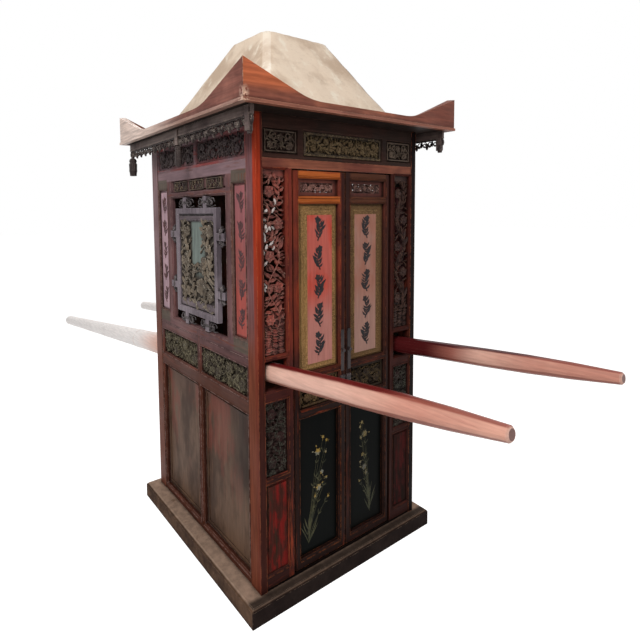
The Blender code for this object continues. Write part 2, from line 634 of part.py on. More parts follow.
def make_door(name, side):
    """One door leaf on its round pivot stile, with its boards behind it and its iron pull."""
    foot, head = SILL_TOP + RUN_GAP, HEAD_LOW - RUN_GAP
    face = leaf_face()
    frame_back = face + LEAF_FRAME_THICKNESS
    board_face = frame_back + SEAT_GAP
    board_back = face + 2 * PIVOT_RADIUS
    hole_x = (RUN_GAP / 2 + LEAF_STILE, pivot_x() + PIVOT_RADIUS - LEAF_STILE)
    holes = ((foot + DOOR_FOOT_RAIL, LACQUER_TOP), (WAIST_LOW, WAIST_TOP),
             (COUPLET_LOW, COUPLET_TOP), (DOOR_CARVING_LOW, DOOR_CARVING_TOP))
    outlines = [rectangle(RUN_GAP / 2, pivot_x(), foot, head)]
    outlines += [rectangle(*hole_x, low, high) for low, high in holes]
    leaf = board("door_leaf_" + name, mirrored(outlines, side), "front", face, frame_back, "red_lacquer")
    leaf = as_mesh(leaf, "red_lacquer")
    stile = turned("door_stile_" + name,
                   [(0, head + PIN_LENGTH), (PIN_RADIUS, head + PIN_LENGTH), (PIN_RADIUS, head),
                    (PIVOT_RADIUS, head), (PIVOT_RADIUS, foot), (PIN_RADIUS, foot),
                    (PIN_RADIUS, WALL_FOOT), (0, WALL_FOOT)], "red_lacquer", 16)
    stile.location = (side * pivot_x(), face + PIVOT_RADIUS, 0)
    join_to(leaf, stile)
    leaf_x = sorted((side * hole_x[0], side * hole_x[1]))
    slopes = (MOULDING, MOULDING, MOULDING, CARVING_MOULDING)
    mould(leaf, "front", face, 1, [(*leaf_x, *hole, slope, None) for hole, slope in zip(holes, slopes)])

    board_x = (hole_x[0] - PANEL_LAP, pivot_x() - PIVOT_RADIUS - SEAT_GAP)
    board_span = sorted((side * board_x[0], side * board_x[1]))
    seam_low = (WAIST_TOP + COUPLET_LOW) / 2
    seam_high = (COUPLET_TOP + DOOR_CARVING_LOW) / 2
    lower_edge = rectangle(*board_x, foot + DOOR_FOOT_RAIL - PANEL_LAP, seam_low - SEAT_GAP)
    lower = board("door_lower_panel_" + name, mirrored([lower_edge], side),
                  "front", board_face, board_back, "black_lacquer")
    couplet = block("door_tall_panel_" + name, board_span, (board_face, board_back),
                    (seam_low, seam_high - SEAT_GAP), "gilt_board")
    raise_fields(couplet, (0, -1, 0),
                 ((COUPLET_MARGIN + PANEL_LAP, FIELD_RISE), (COUPLET_BORDER, FIELD_RISE)))
    carving_z = (seam_high, DOOR_CARVING_TOP + PANEL_LAP)
    carving = board("door_carving_" + name,
                    mirrored([rectangle(*board_x, *carving_z)]
                             + foliage(*hole_x, DOOR_CARVING_LOW, DOOR_CARVING_TOP), side),
                    "front", board_face, board_back, "carved_wood")

    pull_x = side * (RUN_GAP / 2 + LEAF_STILE / 2)
    pull_face = face - SEAT_GAP - PULL_THICKNESS
    pull = block("door_pull_" + name, (pull_x - PULL_WIDTH / 2, pull_x + PULL_WIDTH / 2),
                 (pull_face, face - SEAT_GAP), (PULL_LOW, PULL_HIGH), "iron")
    knob = turned("door_knob_" + name,
                  [(0, PULL_KNOB_LENGTH + PULL_THICKNESS),
                   (PULL_KNOB_RADIUS, PULL_KNOB_LENGTH + PULL_THICKNESS),
                   (PULL_KNOB_RADIUS, PULL_THICKNESS / 2), (0, PULL_THICKNESS / 2)], "iron", 10)
    knob.location = (pull_x, face - SEAT_GAP, (PULL_LOW + PULL_HIGH) / 2)
    knob.rotation_euler = (pi / 2, 0, 0)
    join_to(pull, knob)

    pivot = bpy.data.objects.new("pivot_door_" + name, None)
    pivot.location = (side * pivot_x(), face + PIVOT_RADIUS, 0)
    PARTS.objects.link(pivot)
    hang_on(pivot, (leaf, lower, couplet, carving, pull))


def sash_outline():
    """The window frame's edge, with the short blocks that hold it in the opening."""
    half, block_half = SASH_HALF, SASH_BLOCK_WIDTH / 2
    edge_y = WINDOW_HALF - SEAT_GAP
    edge_low, edge_high = WINDOW_LOW + SEAT_GAP, WINDOW_TOP - SEAT_GAP
    block_y = SASH_HALF / 2
    block_z = [SASH_LOW + share * (SASH_TOP - SASH_LOW) for share in SASH_BLOCK_SHARES]
    points = [(-half, SASH_LOW)]
    for y in (-block_y, block_y):
        points += [(y - block_half, SASH_LOW), (y - block_half, edge_low),
                   (y + block_half, edge_low), (y + block_half, SASH_LOW)]
    points.append((half, SASH_LOW))
    for z in block_z:
        points += [(half, z - block_half), (edge_y, z - block_half),
                   (edge_y, z + block_half), (half, z + block_half)]
    points.append((half, SASH_TOP))
    for y in (block_y, -block_y):
        points += [(y + block_half, SASH_TOP), (y + block_half, edge_high),
                   (y - block_half, edge_high), (y - block_half, SASH_TOP)]
    points.append((-half, SASH_TOP))
    for z in reversed(block_z):
        points += [(-half, z + block_half), (-edge_y, z + block_half),
                   (-edge_y, z - block_half), (-half, z - block_half)]
    return points


def make_side(name, side):
    """One side wall: panelled below, a carved band at the belt, the window and frieze above."""
    belt = SIDE_BELT
    stile_y = BETWEEN_POSTS_Y - SIDE_STILE
    halves = ((-stile_y, -SIDE_MUNTIN / 2), (SIDE_MUNTIN / 2, stile_y))

    def at_side(low, high):
        return sorted((side * low, side * high))

    openings = [(*y_span, low, high) for y_span in halves
                for low, high in ((SIDE_FOOT, SIDE_PANEL_TOP), (SIDE_FRIEZE_LOW, SIDE_FRIEZE_TOP))]
    lower = [rectangle(-BETWEEN_POSTS_Y, BETWEEN_POSTS_Y, WALL_FOOT, belt - SEAT_GAP)]
    lower += [rectangle(*opening) for opening in openings]
    made = board("side_lower_frame_" + name, lower, "side", *at_side(SIDE_BACK, SIDE_FACE), "brown_lacquer")
    mould(as_mesh(made, "brown_lacquer"), "side", side * SIDE_FACE, -side,
          [(*opening, MOULDING, None) for opening in openings])
    seam = (SIDE_PANEL_TOP + SIDE_FRIEZE_LOW) / 2
    reach = stile_y + SIDE_STILE / 2
    panel = block("side_lower_panel_" + name, at_side(SIDE_PANEL_BACK, SIDE_PANEL_FACE), (-reach, reach),
                  (SIDE_FOOT - PANEL_LAP, seam - SEAT_GAP), "side_panel")
    for half_name, (y_low, y_high) in zip(("front", "rear"), halves):
        outer = (y_low + BEAD_MARGIN, y_high - BEAD_MARGIN,
                 SIDE_FOOT + BEAD_MARGIN, SIDE_PANEL_TOP - BEAD_MARGIN)
        inner = (outer[0] + BEAD_WIDTH, outer[1] - BEAD_WIDTH,
                 outer[2] + BEAD_WIDTH, outer[3] - BEAD_WIDTH)
        bead = board(f"side_bead_{half_name}_{name}", [rectangle(*outer), rectangle(*inner)], "side",
                     *at_side(SIDE_PANEL_FACE - BEAD_RISE, SIDE_PANEL_FACE + BEAD_RISE), "side_panel")
        join_to(panel, as_mesh(bead, "side_panel"))
    band = [rectangle(-reach, reach, seam, SIDE_FRIEZE_TOP + PANEL_LAP)]
    for y_span in halves:
        band += foliage(*y_span, SIDE_FRIEZE_LOW, SIDE_FRIEZE_TOP)
    board("side_band_" + name, band, "side", *at_side(SIDE_PANEL_BACK, SIDE_PANEL_FACE), "carved_wood")

    strip_y = (STRIP_BAY_INNER, STRIP_BAY_OUTER)
    fret_field = (-WINDOW_HALF, WINDOW_HALF, FRET_LOW, FRET_TOP)
    openings = [(-WINDOW_HALF, WINDOW_HALF, WINDOW_LOW, WINDOW_TOP),
                (*strip_y, STRIP_BAY_LOW, STRIP_BAY_TOP),
                (-strip_y[1], -strip_y[0], STRIP_BAY_LOW, STRIP_BAY_TOP)]
    upper = [rectangle(-BETWEEN_POSTS_Y, BETWEEN_POSTS_Y, belt, HEAD_TOP)]
    upper += [rectangle(*opening) for opening in openings] + fret(*fret_field)
    made = board("side_upper_frame_" + name, upper, "side", *at_side(SIDE_BACK, SIDE_FACE), "brown_lacquer")
    mould(as_mesh(made, "brown_lacquer"), "side", side * SIDE_FACE, -side,
          [(*opening, MOULDING, None) for opening in openings] + [(*fret_field, MOULDING, FRIEZE_SINK)])
    for end_name, end in (("front", -1), ("rear", 1)):
        y_span = sorted((end * (strip_y[0] + SEAT_GAP), end * (strip_y[1] - SEAT_GAP)))
        strip = block(f"side_strip_{end_name}_{name}", at_side(SIDE_BACK, SIDE_BACK + WALL_PANEL_THICKNESS),
                      y_span, (STRIP_BAY_LOW + SEAT_GAP, STRIP_BAY_TOP - SEAT_GAP), "faded_red")
        raise_fields(strip, (side, 0, 0), ((STRIP_MARGIN, FIELD_RISE),))

    sash_face = SIDE_FACE + SASH_PROUD
    sash_hole = (-SASH_HALF + SASH_RAIL, SASH_HALF - SASH_RAIL, SASH_LOW + SASH_RAIL, SASH_TOP - SASH_RAIL)
    made = board("sash_frame_" + name, [sash_outline(), rectangle(*sash_hole)], "side",
                 *at_side(sash_face - SASH_THICKNESS, sash_face), "carved_wood")
    mould(as_mesh(made, "carved_wood"), "side", side * sash_face, -side, [(*sash_hole, MOULDING, None)])
    y_low, y_high, z_low, z_high = sash_hole
    sash_back = sash_face - SASH_THICKNESS
    carving = block("sash_carving_" + name, at_side(sash_back, sash_back + SASH_BOARD_THICKNESS),
                    (y_low + SEAT_GAP, y_high - SEAT_GAP), (z_low + SEAT_GAP, z_high - SEAT_GAP),
                    "carved_wood")
    raise_fields(carving, (side, 0, 0), ((STRIP_MARGIN, FIELD_RISE),))

    frieze = [rectangle(-BETWEEN_POSTS_Y, BETWEEN_POSTS_Y, HEAD_TOP + SEAT_GAP, WALL_TOP)]
    fields = [(*y_span, TOP_FRIEZE_LOW, TOP_FRIEZE_TOP) for y_span in halves]
    for field in fields:
        frieze += foliage(*field)
    made = board("side_frieze_" + name, frieze, "side", *at_side(SIDE_BACK, SIDE_FACE), "brown_lacquer")
    mould(as_mesh(made, "brown_lacquer"), "side", side * SIDE_FACE, -side,
          [(*field, MOULDING, FRIEZE_SINK) for field in fields])


def make_back():
    """The back wall: a frame of panels with a hole for each pole, and one thin board inside it."""
    bay_x = (JAMB_OUTER, BAY_OUTER)
    middle_rail = (BACK_HOLE_LOW + BACK_HOLE_TOP) / 2
    openings = [(-BACK_STILE_INNER, BACK_STILE_INNER, BAY_FOOT, middle_rail - BACK_RAIL / 2),
                (-BACK_STILE_INNER, BACK_STILE_INNER, middle_rail + BACK_RAIL / 2, BAY_OPENWORK_TOP)]
    for low, high in ((BAY_FOOT, BACK_BAY_TOP), (BACK_UPPER_LOW, BAY_OPENWORK_TOP)):
        openings += [(*bay_x, low, high), (-bay_x[1], -bay_x[0], low, high)]
    holes = [rectangle(*bay_x, BACK_HOLE_LOW, BACK_HOLE_TOP)]
    holes += mirrored(holes, -1)
    frame = [rectangle(-BETWEEN_POSTS_X, BETWEEN_POSTS_X, WALL_FOOT, WALL_TOP)]
    frame += [rectangle(*opening) for opening in openings] + holes
    made = board("back_frame", frame, "front", BACK_INNER, BACK_FACE, "brown_lacquer")
    mould(as_mesh(made, "brown_lacquer"), "front", BACK_FACE, -1,
          [(*opening, MOULDING, None) for opening in openings])
    reach = BETWEEN_POSTS_X - BAY_EDGE / 2
    panel = [rectangle(-reach, reach, BAY_FOOT - PANEL_LAP, BAY_OPENWORK_TOP + PANEL_LAP)]
    board("back_panel", panel + holes, "front",
          BACK_PANEL_BACK, BACK_PANEL_FACE, "side_panel")


def make_seat():
    """A bench across the rear of the cabin: a board on a riser."""
    riser = SEAT_FRONT + SEAT_OVERHANG
    rear = BACK_PANEL_BACK - SEAT_GAP
    floor = WALL_FOOT + FLOOR_THICKNESS + SEAT_GAP
    outline = [(SEAT_FRONT, SEAT_TOP), (SEAT_FRONT, SEAT_TOP - SEAT_BOARD), (riser, SEAT_TOP - SEAT_BOARD),
               (riser, floor), (riser + SEAT_RISER, floor), (riser + SEAT_RISER, SEAT_TOP - SEAT_BOARD),
               (rear, SEAT_TOP - SEAT_BOARD), (rear, SEAT_TOP)]
    reach = SIDE_PANEL_BACK - SEAT_GAP
    board("seat_bench", [outline], "side", -reach, reach, "bench_wood")


def eave_height(share):
    """Height of an eave board at a share of its half length: level, curved up, then straight to its tip."""
    curve = EAVE_SWEEP_END_SHARE - EAVE_SWEEP_START_SHARE
    climb = max(share - EAVE_SWEEP_START_SHARE, 0)
    rise = climb * climb if climb < curve else curve * (2 * climb - curve)
    full = curve * (2 * (1 - EAVE_SWEEP_START_SHARE) - curve)
    return EAVE_MIDDLE_HEIGHT + (EAVE_CORNER_HEIGHT - EAVE_MIDDLE_HEIGHT) * rise / full


def mitre(made, plane, half, low, high, direction, thickness):
    """Shorten a board's inner face so that its ends meet its neighbours' at 45 degrees."""
    centre = (low + high) / 2
    for vert in made.data.vertices:
        depth = (made.matrix_world @ vert.co).dot(PLANES[plane][1])
        at_end = abs(vert.co.x) > half - SEAT_GAP
        if at_end and (depth - centre) * direction < 0:
            vert.co.x *= (half - thickness) / half
    return made


def eave_lip(name, plane, half_length, outer, direction):
    """The low bead along an eave board's foot, mitred as the board is."""
    half = half_length + EAVE_LIP_RISE - SEAT_GAP
    thickness = 2 * EAVE_LIP_RISE
    tip = direction * (outer + EAVE_LIP_RISE)
    low, high = sorted((tip, tip - direction * thickness))
    outline = rectangle(-half, half, CABIN_TOP, CABIN_TOP + EAVE_LIP_HEIGHT)
    made = as_mesh(board(name, [outline], plane, low, high, "roof_boards"), "roof_boards")
    return mitre(made, plane, half, low, high, direction, thickness)


def eave_board(name, plane, half_length, outer, direction):
    """One eave board, mitred to its neighbours on the inner face, with its lip."""
    half = half_length - SEAT_GAP
    foot = CABIN_TOP
    curve = EAVE_SWEEP_END_SHARE - EAVE_SWEEP_START_SHARE
    sweep = [EAVE_SWEEP_START_SHARE + curve * i / EAVE_SWEEP_STEPS for i in range(EAVE_SWEEP_STEPS + 1)] + [1]
    shares = [-share for share in reversed(sweep)] + sweep
    outline = [(half, foot), (-half, foot)]
    outline += [(share * half, foot + eave_height(abs(share))) for share in shares]
    low, high = sorted((direction * outer, direction * (outer - EAVE_THICKNESS)))
    made = as_mesh(board(name, [outline], plane, low, high, "roof_boards"), "roof_boards")
    mitre(made, plane, half, low, high, direction, EAVE_THICKNESS)
    join_to(made, eave_lip(name + "_lip", plane, half_length, outer, direction))
    return made


def make_roof():
    """The deck over the cabin, four upswept eave boards round it, and the canvas over its frame."""
    inner_x, inner_y = EAVE_INNER_X - SEAT_GAP, EAVE_INNER_Y - SEAT_GAP
    deck_top = CABIN_TOP + DECK_THICKNESS
    block("roof_deck", (-inner_x, inner_x), (-inner_y, inner_y), (CABIN_TOP, deck_top), "roof_deck")
    for name, plane, half_length, outer, direction in (
            ("eave_front", "front", EAVE_HALF_WIDTH, EAVE_HALF_DEPTH, -1),
            ("eave_rear", "front", EAVE_HALF_WIDTH, EAVE_HALF_DEPTH, 1),
            ("eave_left", "side", EAVE_HALF_DEPTH, EAVE_HALF_WIDTH, -1),
            ("eave_right", "side", EAVE_HALF_DEPTH, EAVE_HALF_WIDTH, 1)):
        eave_board(name, plane, half_length, outer, direction)

    outer = canvas_form("roof_canvas", deck_top + SEAT_GAP, 0)
    cut_from(outer, canvas_form("roof_canvas_inside", deck_top + SEAT_GAP, DOME_SKIN))


def canvas_form(name, foot, inset):
    """The roof's four slopes and its small flat top, drawn in by the skin for the inside."""
    run_out = CUT_OVERRUN if inset else 0
    half_width = EAVE_INNER_X - GUTTER_SIDE - inset
    form = block(name, (-half_width, half_width),
                 (-EAVE_INNER_Y + GUTTER_FRONT + inset, EAVE_INNER_Y - GUTTER_REAR - inset),
                 (foot - run_out, DOME_TOP - inset), "canvas")
    middle = form.location.copy()
    shape = bmesh.new()
    shape.from_mesh(form.data)
    for vert in shape.verts:
        if vert.co.z > 0:
            right, rear = vert.co.x > 0, vert.co.y > 0
            vert.co.x = (DOME_TOP_RIGHT - inset if right else -DOME_TOP_LEFT + inset) - middle.x
            vert.co.y = (DOME_TOP_REAR - inset if rear else -DOME_TOP_FRONT + inset) - middle.y
    hips = [edge for edge in shape.edges if (edge.verts[0].co.z > 0) != (edge.verts[1].co.z > 0)]
    bmesh.ops.bevel(shape, geom=hips, offset=DOME_HIP, offset_type="OFFSET", segments=1, affect="EDGES")
    rim = [edge for edge in shape.edges if all(vert.co.z > 0 for vert in edge.verts)]
    bmesh.ops.bevel(shape, geom=rim, offset=DOME_ROUNDING, offset_type="OFFSET", segments=1, affect="EDGES")
    shape.to_mesh(form.data)
    shape.free()
    return form


def valance_outline():
    """The lower edge in scallops, with three pendants: a short one in front, two long ones."""
    half = EAVE_INNER_Y
    top = CABIN_TOP - SEAT_GAP
    width = PENDANT_HALF_WIDTH
    pitch = 2 * half / VALANCE_SCALLOPS
    middle = 0.0
    points = [(half, top), (-half, top), (-half, PENDANT_SHORT_FOOT),
              (-half + 2 * width, PENDANT_SHORT_FOOT), (-half + 2 * width, VALANCE_LACE_LOW)]
    for i in range(1, 2 * VALANCE_SCALLOPS):
        y = -half + i * pitch / 2
        clear_of_ends = -half + 3 * width < y < half - 3 * width
        if clear_of_ends and abs(y - middle) > 2 * width:
            drop = VALANCE_SCALLOP if i % 2 else 0
            points.append((y, VALANCE_LACE_LOW - drop))
        elif abs(y - middle) < pitch / 4:
            points += pendant(middle)
    points += pendant(half - width)
    return points


def pendant(y):
    """A turned drop's outline, from its left shoulder round to its right one."""
    width = PENDANT_HALF_WIDTH
    fall = VALANCE_LACE_LOW - PENDANT_FOOT
    side_shares = ((1.0, 0.0), (0.55, 0.15), (0.55, 0.30), (0.95, 0.42), (1.0, 1.0))
    left = [(y - wide * width, VALANCE_LACE_LOW - down * fall) for wide, down in side_shares]
    right = [(y + wide * width, VALANCE_LACE_LOW - down * fall) for wide, down in reversed(side_shares)]
    return left + right


def make_valances():
    """Carved lace boards that hang under the side eaves."""
    reach = EAVE_INNER_Y - 2 * PENDANT_HALF_WIDTH
    lace = foliage(-reach, reach, VALANCE_LACE_LOW, VALANCE_LACE_TOP, LACE_PITCH_SHARE)
    outer = EAVE_INNER_X - VALANCE_SETBACK
    for name, side in (("left", -1), ("right", 1)):
        low, high = sorted((side * (outer - VALANCE_THICKNESS), side * outer))
        board("valance_" + name, [valance_outline()] + lace, "side", low, high, "carved_wood")


def make_pole(name, side, tip_y, tip_z):
    """One tapered pole, which slides rearwards along its own axis out of the two walls."""
    chamfer = POLE_END_CHAMFER
    shoulder_end = POLE_SHOULDER_START + POLE_SHOULDER_LENGTH
    length = shoulder_end + POLE_REAR_LENGTH
    ring_start = shoulder_end + POLE_RING_OFFSET
    ring_end = ring_start + POLE_RING_WIDTH
    profile = [(0, length), (POLE_BUTT_RADIUS - chamfer, length), (POLE_BUTT_RADIUS, length - chamfer)]
    for place in (ring_end, ring_start):
        slimmed = (place - shoulder_end) / (length - chamfer - shoulder_end)
        radius = POLE_SHOULDER_RADIUS + slimmed * (POLE_BUTT_RADIUS - POLE_SHOULDER_RADIUS)
        pair = [(radius, place), (radius + POLE_RING_RISE, place)]
        profile += pair if place == ring_end else reversed(pair)
    profile += [(POLE_SHOULDER_RADIUS, shoulder_end), (POLE_BODY_RADIUS, POLE_SHOULDER_START)]
    for share in POLE_TAPER_SHARES:
        grow = 1 - (1 - share) ** 2
        profile.append((POLE_TIP_RADIUS + grow * (POLE_SHANK_RADIUS - POLE_TIP_RADIUS),
                        share * POLE_TAPER_LENGTH))
    profile += [(POLE_TIP_RADIUS, chamfer), (POLE_TIP_RADIUS - chamfer, 0), (0, 0)]
    pole = turned("pole_" + name, profile, "pole_wood", POLE_SIDES)
    pole.location = (side * POLE_OFFSET, tip_y, tip_z)
    pole.rotation_euler = (-pi / 2 - atan(pole_fall(tip_y, tip_z)), 0, 0)


clear_scene()
PARTS = new_collection("palanquin")
CUTTERS = new_collection("cutters")

make_plinth()
make_posts()
make_front()
for door_name, door_side in (("left", -1), ("right", 1)):
    make_door(door_name, door_side)
for wall_name, wall_side in (("left", -1), ("right", 1)):
    make_side(wall_name, wall_side)
make_back()
make_seat()
make_roof()
make_valances()

for pole_name, pole_side, pole_tip_y, pole_tip_z in POLES:
    make_pole(pole_name, pole_side, pole_tip_y, pole_tip_z)
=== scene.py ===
from math import atan2, cos, hypot, pi, radians, sin
from random import Random

import bmesh
import bpy
from mathutils import Matrix, Vector, noise


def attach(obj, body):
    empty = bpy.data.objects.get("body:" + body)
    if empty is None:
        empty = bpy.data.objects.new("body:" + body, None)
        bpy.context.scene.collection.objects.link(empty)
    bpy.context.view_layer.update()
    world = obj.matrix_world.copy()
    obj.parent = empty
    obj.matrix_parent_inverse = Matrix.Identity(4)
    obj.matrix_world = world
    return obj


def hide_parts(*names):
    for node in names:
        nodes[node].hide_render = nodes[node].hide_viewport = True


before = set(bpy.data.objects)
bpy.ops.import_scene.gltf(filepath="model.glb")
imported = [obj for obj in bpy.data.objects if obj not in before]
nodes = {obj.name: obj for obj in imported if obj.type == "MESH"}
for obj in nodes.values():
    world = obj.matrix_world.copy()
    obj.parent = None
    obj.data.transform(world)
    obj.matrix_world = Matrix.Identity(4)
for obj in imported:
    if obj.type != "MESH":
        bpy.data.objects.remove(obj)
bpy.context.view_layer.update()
SIDES = (("left", -1), ("right", 1))


# Camera: it stands a little below the eaves, off the near corner of the cabin, as in the photograph,
# and looks slightly down.
CAMERA_PLACE = (-1.1343, -1.5509, 1.2409)
CAMERA_YAW = radians(-35.3655)
CAMERA_PITCH = radians(-4.0781)
CAMERA_ROLL = radians(-0.6727)
FOCAL_PIXELS = 478.37
PRINCIPAL_PIXEL = (270.14, 245.83)
PHOTO_PIXELS = 640
SENSOR = 36.0

camera = bpy.data.objects.new("camera", bpy.data.cameras.new("camera"))
bpy.context.scene.collection.objects.link(camera)
camera.location = CAMERA_PLACE
camera.matrix_world = (Matrix.Translation(CAMERA_PLACE) @ Matrix.Rotation(CAMERA_YAW, 4, "Z")
                       @ Matrix.Rotation(pi / 2 + CAMERA_PITCH, 4, "X")
                       @ Matrix.Rotation(CAMERA_ROLL, 4, "Z"))
camera.data.sensor_width = SENSOR
camera.data.lens = FOCAL_PIXELS * SENSOR / PHOTO_PIXELS
camera.data.shift_x = (PHOTO_PIXELS / 2 - PRINCIPAL_PIXEL[0]) / PHOTO_PIXELS
camera.data.shift_y = (PRINCIPAL_PIXEL[1] - PHOTO_PIXELS / 2) / PHOTO_PIXELS
bpy.context.scene.camera = camera
bpy.context.scene.view_settings.view_transform = "Standard"


# Studio: an even pale surround, a broad lamp high on the camera's left, a weaker one on its right,
# and a pale floor that keeps the shadow.
SURROUND_STRENGTH = 0.40
LAMPS = (
    # name, place, size, power
    ("key_lamp", (-2.1, -1.7, 3.0), 1.2, 68.0),
    ("fill_lamp", (2.2, -3.2, 2.2), 2.4, 14.0),
    ("rear_lamp", (1.0, 3.2, 3.0), 2.4, 40.0),
)
LAMPS_LOOK_AT = Vector((0, 0, 0.9))
FLOOR_SIZE = 60.0
FLOOR_GLOW = 0.72


def colour(red, green, blue, shade=1.0):
    """A colour as a screen shows it, from 0 to 255, darkened by a painted shade, in the shader's own values.
    """
    shares = [shade * value / 255 for value in (red, green, blue)]
    return tuple(s / 12.92 if s <= 0.04045 else ((s + 0.055) / 1.055) ** 2.4 for s in shares) + (1.0,)


def add_node(tree, kind, wires=None, **settings):
    """A shader node with its settings made, and its inputs set or wired."""
    made = tree.nodes.new("ShaderNode" + kind)
    for name, value in settings.items():
        setattr(made, name, value)
    for socket, value in (wires or {}).items():
        if isinstance(value, bpy.types.NodeSocket):
            tree.links.new(value, made.inputs[socket])
        else:
            made.inputs[socket].default_value = value
    return made


def seen_directly(tree):
    """One where a ray comes from the camera, or from a gloss or glass that shows the backdrop."""
    path = add_node(tree, "LightPath")
    either = add_node(tree, "Math", {0: path.outputs["Is Camera Ray"], 1: path.outputs["Is Glossy Ray"]},
                      operation="MAXIMUM")
    return add_node(tree, "Math", {0: either.outputs[0], 1: path.outputs["Is Transmission Ray"]},
                    operation="MAXIMUM").outputs[0]


def light_studio():
    world = bpy.data.worlds.new("studio")
    bpy.context.scene.world = world
    world.use_nodes = True
    tree = world.node_tree
    tree.nodes.clear()
    lit = add_node(tree, "Background", {"Color": (1, 1, 1, 1), "Strength": SURROUND_STRENGTH})
    shown = add_node(tree, "Background", {"Color": (1, 1, 1, 1), "Strength": 1.0})
    both = add_node(tree, "MixShader", {0: seen_directly(tree), 1: lit.outputs[0], 2: shown.outputs[0]})
    add_node(tree, "OutputWorld", {"Surface": both.outputs[0]})
    for name, place, size, power in LAMPS:
        lamp = bpy.data.lights.new(name, "AREA")
        lamp.shape = "DISK"
        lamp.size = size
        lamp.energy = power
        lamp_object = bpy.data.objects.new(name, lamp)
        bpy.context.scene.collection.objects.link(lamp_object)
        lamp_object.location = place
        lamp_object.rotation_euler = (LAMPS_LOOK_AT - Vector(place)).to_track_quat("-Z", "Y").to_euler()


def lay_floor():
    bpy.ops.mesh.primitive_plane_add(size=FLOOR_SIZE)
    floor = bpy.context.object
    floor.name = "studio_floor"
    material = bpy.data.materials.new("studio_floor")
    material.use_nodes = True
    tree = material.node_tree
    tree.nodes.clear()
    matt = add_node(tree, "BsdfDiffuse", {"Color": (0.80, 0.80, 0.80, 1)})
    glow = add_node(tree, "Emission", {"Color": (1, 1, 1, 1), "Strength": FLOOR_GLOW})
    sum_of_both = add_node(tree, "AddShader", {0: matt.outputs[0], 1: glow.outputs[0]})
    both = add_node(tree, "MixShader", {0: seen_directly(tree), 1: matt.outputs[0],
                                        2: sum_of_both.outputs[0]})
    add_node(tree, "OutputMaterial", {"Surface": both.outputs[0]})
    floor.data.materials.append(material)


light_studio()
lay_floor()


# Plinth: four bare timbers and a bearer, tan and worn on top, darker and scuffed down the sides, with
# painted shade on its front face and on the front strip of its top. The floor board lies on it, inside
# the walls.
PLINTH_TOP = 0.060
PLINTH_FRONT = -0.425
GRAIN_STRETCH = 14.0
SCUFFS_TO_GRAIN = 3.2
# Grime and painted shade, laid in corners and recesses.
GRIME_AND_SHADE = (24, 17, 15)


def blend_colours(tree, factor, under, over, how="MIX"):
    """One colour laid over another."""
    mix = tree.nodes.new("ShaderNodeMix")
    mix.data_type = "RGBA"
    mix.blend_type = how
    for socket, value in ((mix.inputs[0], factor), (mix.inputs[6], under), (mix.inputs[7], over)):
        if isinstance(value, bpy.types.NodeSocket):
            tree.links.new(value, socket)
        else:
            socket.default_value = value
    return mix.outputs[2]


def spread(tree, value, low, high, low_out=0.0, high_out=1.0):
    """A value between two limits, brought smoothly to a range of its own."""
    return add_node(tree, "MapRange", {"Value": value, "From Min": low, "From Max": high, "To Min": low_out,
                                       "To Max": high_out}, interpolation_type="SMOOTHSTEP").outputs[0]


def calculate(tree, how, first, second=0.0):
    return add_node(tree, "Math", {0: first, 1: second}, operation=how).outputs[0]


def times(tree, first, second):
    return calculate(tree, "MULTIPLY", first, second)


def place_on(tree, stretch=(1, 1, 1)):
    """The point on the piece, in metres, drawn out along the grain."""
    point = add_node(tree, "TexCoord").outputs["Object"]
    return add_node(tree, "Mapping", {"Vector": point, "Scale": stretch}, vector_type="POINT").outputs[0]


def measure(tree, axis):
    """How far along an axis the point on the piece lies."""
    return add_node(tree, "SeparateXYZ", {0: place_on(tree)}).outputs[axis]


def ramp(tree, axis, *limits):
    """How far along an axis, brought smoothly from zero to one between two places, or to other limits."""
    return spread(tree, measure(tree, axis), *limits)


def band(tree, axis, low, high, blur=0.002, mirrored=False):
    """One between two places along an axis, and zero outside them."""
    place = measure(tree, axis)
    if mirrored:
        place = calculate(tree, "ABSOLUTE", place)
    return times(tree, spread(tree, place, low - blur, low + blur),
                 spread(tree, place, high + blur, high - blur))


def field_between(tree, axis, reach, up, blur):
    """One between two distances from the middle and between two heights, and zero outside them."""
    return times(tree, band(tree, axis, *reach, blur, mirrored=True), band(tree, "Z", *up, blur))


def cloud(tree, place, scale, detail=3.0, roughness=0.55):
    return add_node(tree, "TexNoise", {"Vector": place, "Scale": scale, "Detail": detail,
                                       "Roughness": roughness}).outputs[0]


def rails(axis, spans, across=None, reach=(-0.01, 1.0)):
    """Where a frame's rails lie: between heights, and within a reach from the middle."""
    def where(tree):
        found = 0.0
        for low, high in spans:
            found = calculate(tree, "MAXIMUM", band(tree, axis, low, high, 0.0006), found)
        if across:
            found = times(tree, found, band(tree, across, *reach, 0.0006, mirrored=True))
        return found
    return where


def edge_rub(tree, radius):
    """Near one on a piece's sharp outer edges, where hands and cloths wear it and where a painted highlight
    lines them.
    """
    soft = add_node(tree, "Bevel", {"Radius": radius}, samples=4).outputs[0]
    flat = add_node(tree, "NewGeometry").outputs["Normal"]
    level = add_node(tree, "VectorMath", {0: soft, 1: flat}, operation="DOT_PRODUCT").outputs["Value"]
    return spread(tree, level, 0.985, 0.86)


def hollow_grime_and_shade(tree, reach):
    """Near one in the corners and recesses, where grime stays and where painted shade darkens them."""
    open_share = add_node(tree, "AmbientOcclusion", {"Distance": reach}, samples=6).outputs["AO"]
    return spread(tree, open_share, 0.92, 0.35)


def grain_stretch(along):
    """Grain is drawn out along one axis of the piece, or along none of them on dusty wood."""
    return tuple(1 / GRAIN_STRETCH if axis == along else 1.0 for axis in "xyz")


def lay_bands(tree, tone, bands):
    """Lays colours over a tone, each where its function of the tree says and at its strength."""
    for where, laid, strength in bands:
        tone = blend_colours(tree, times(tree, where(tree), strength), tone, colour(*laid))
    return tone


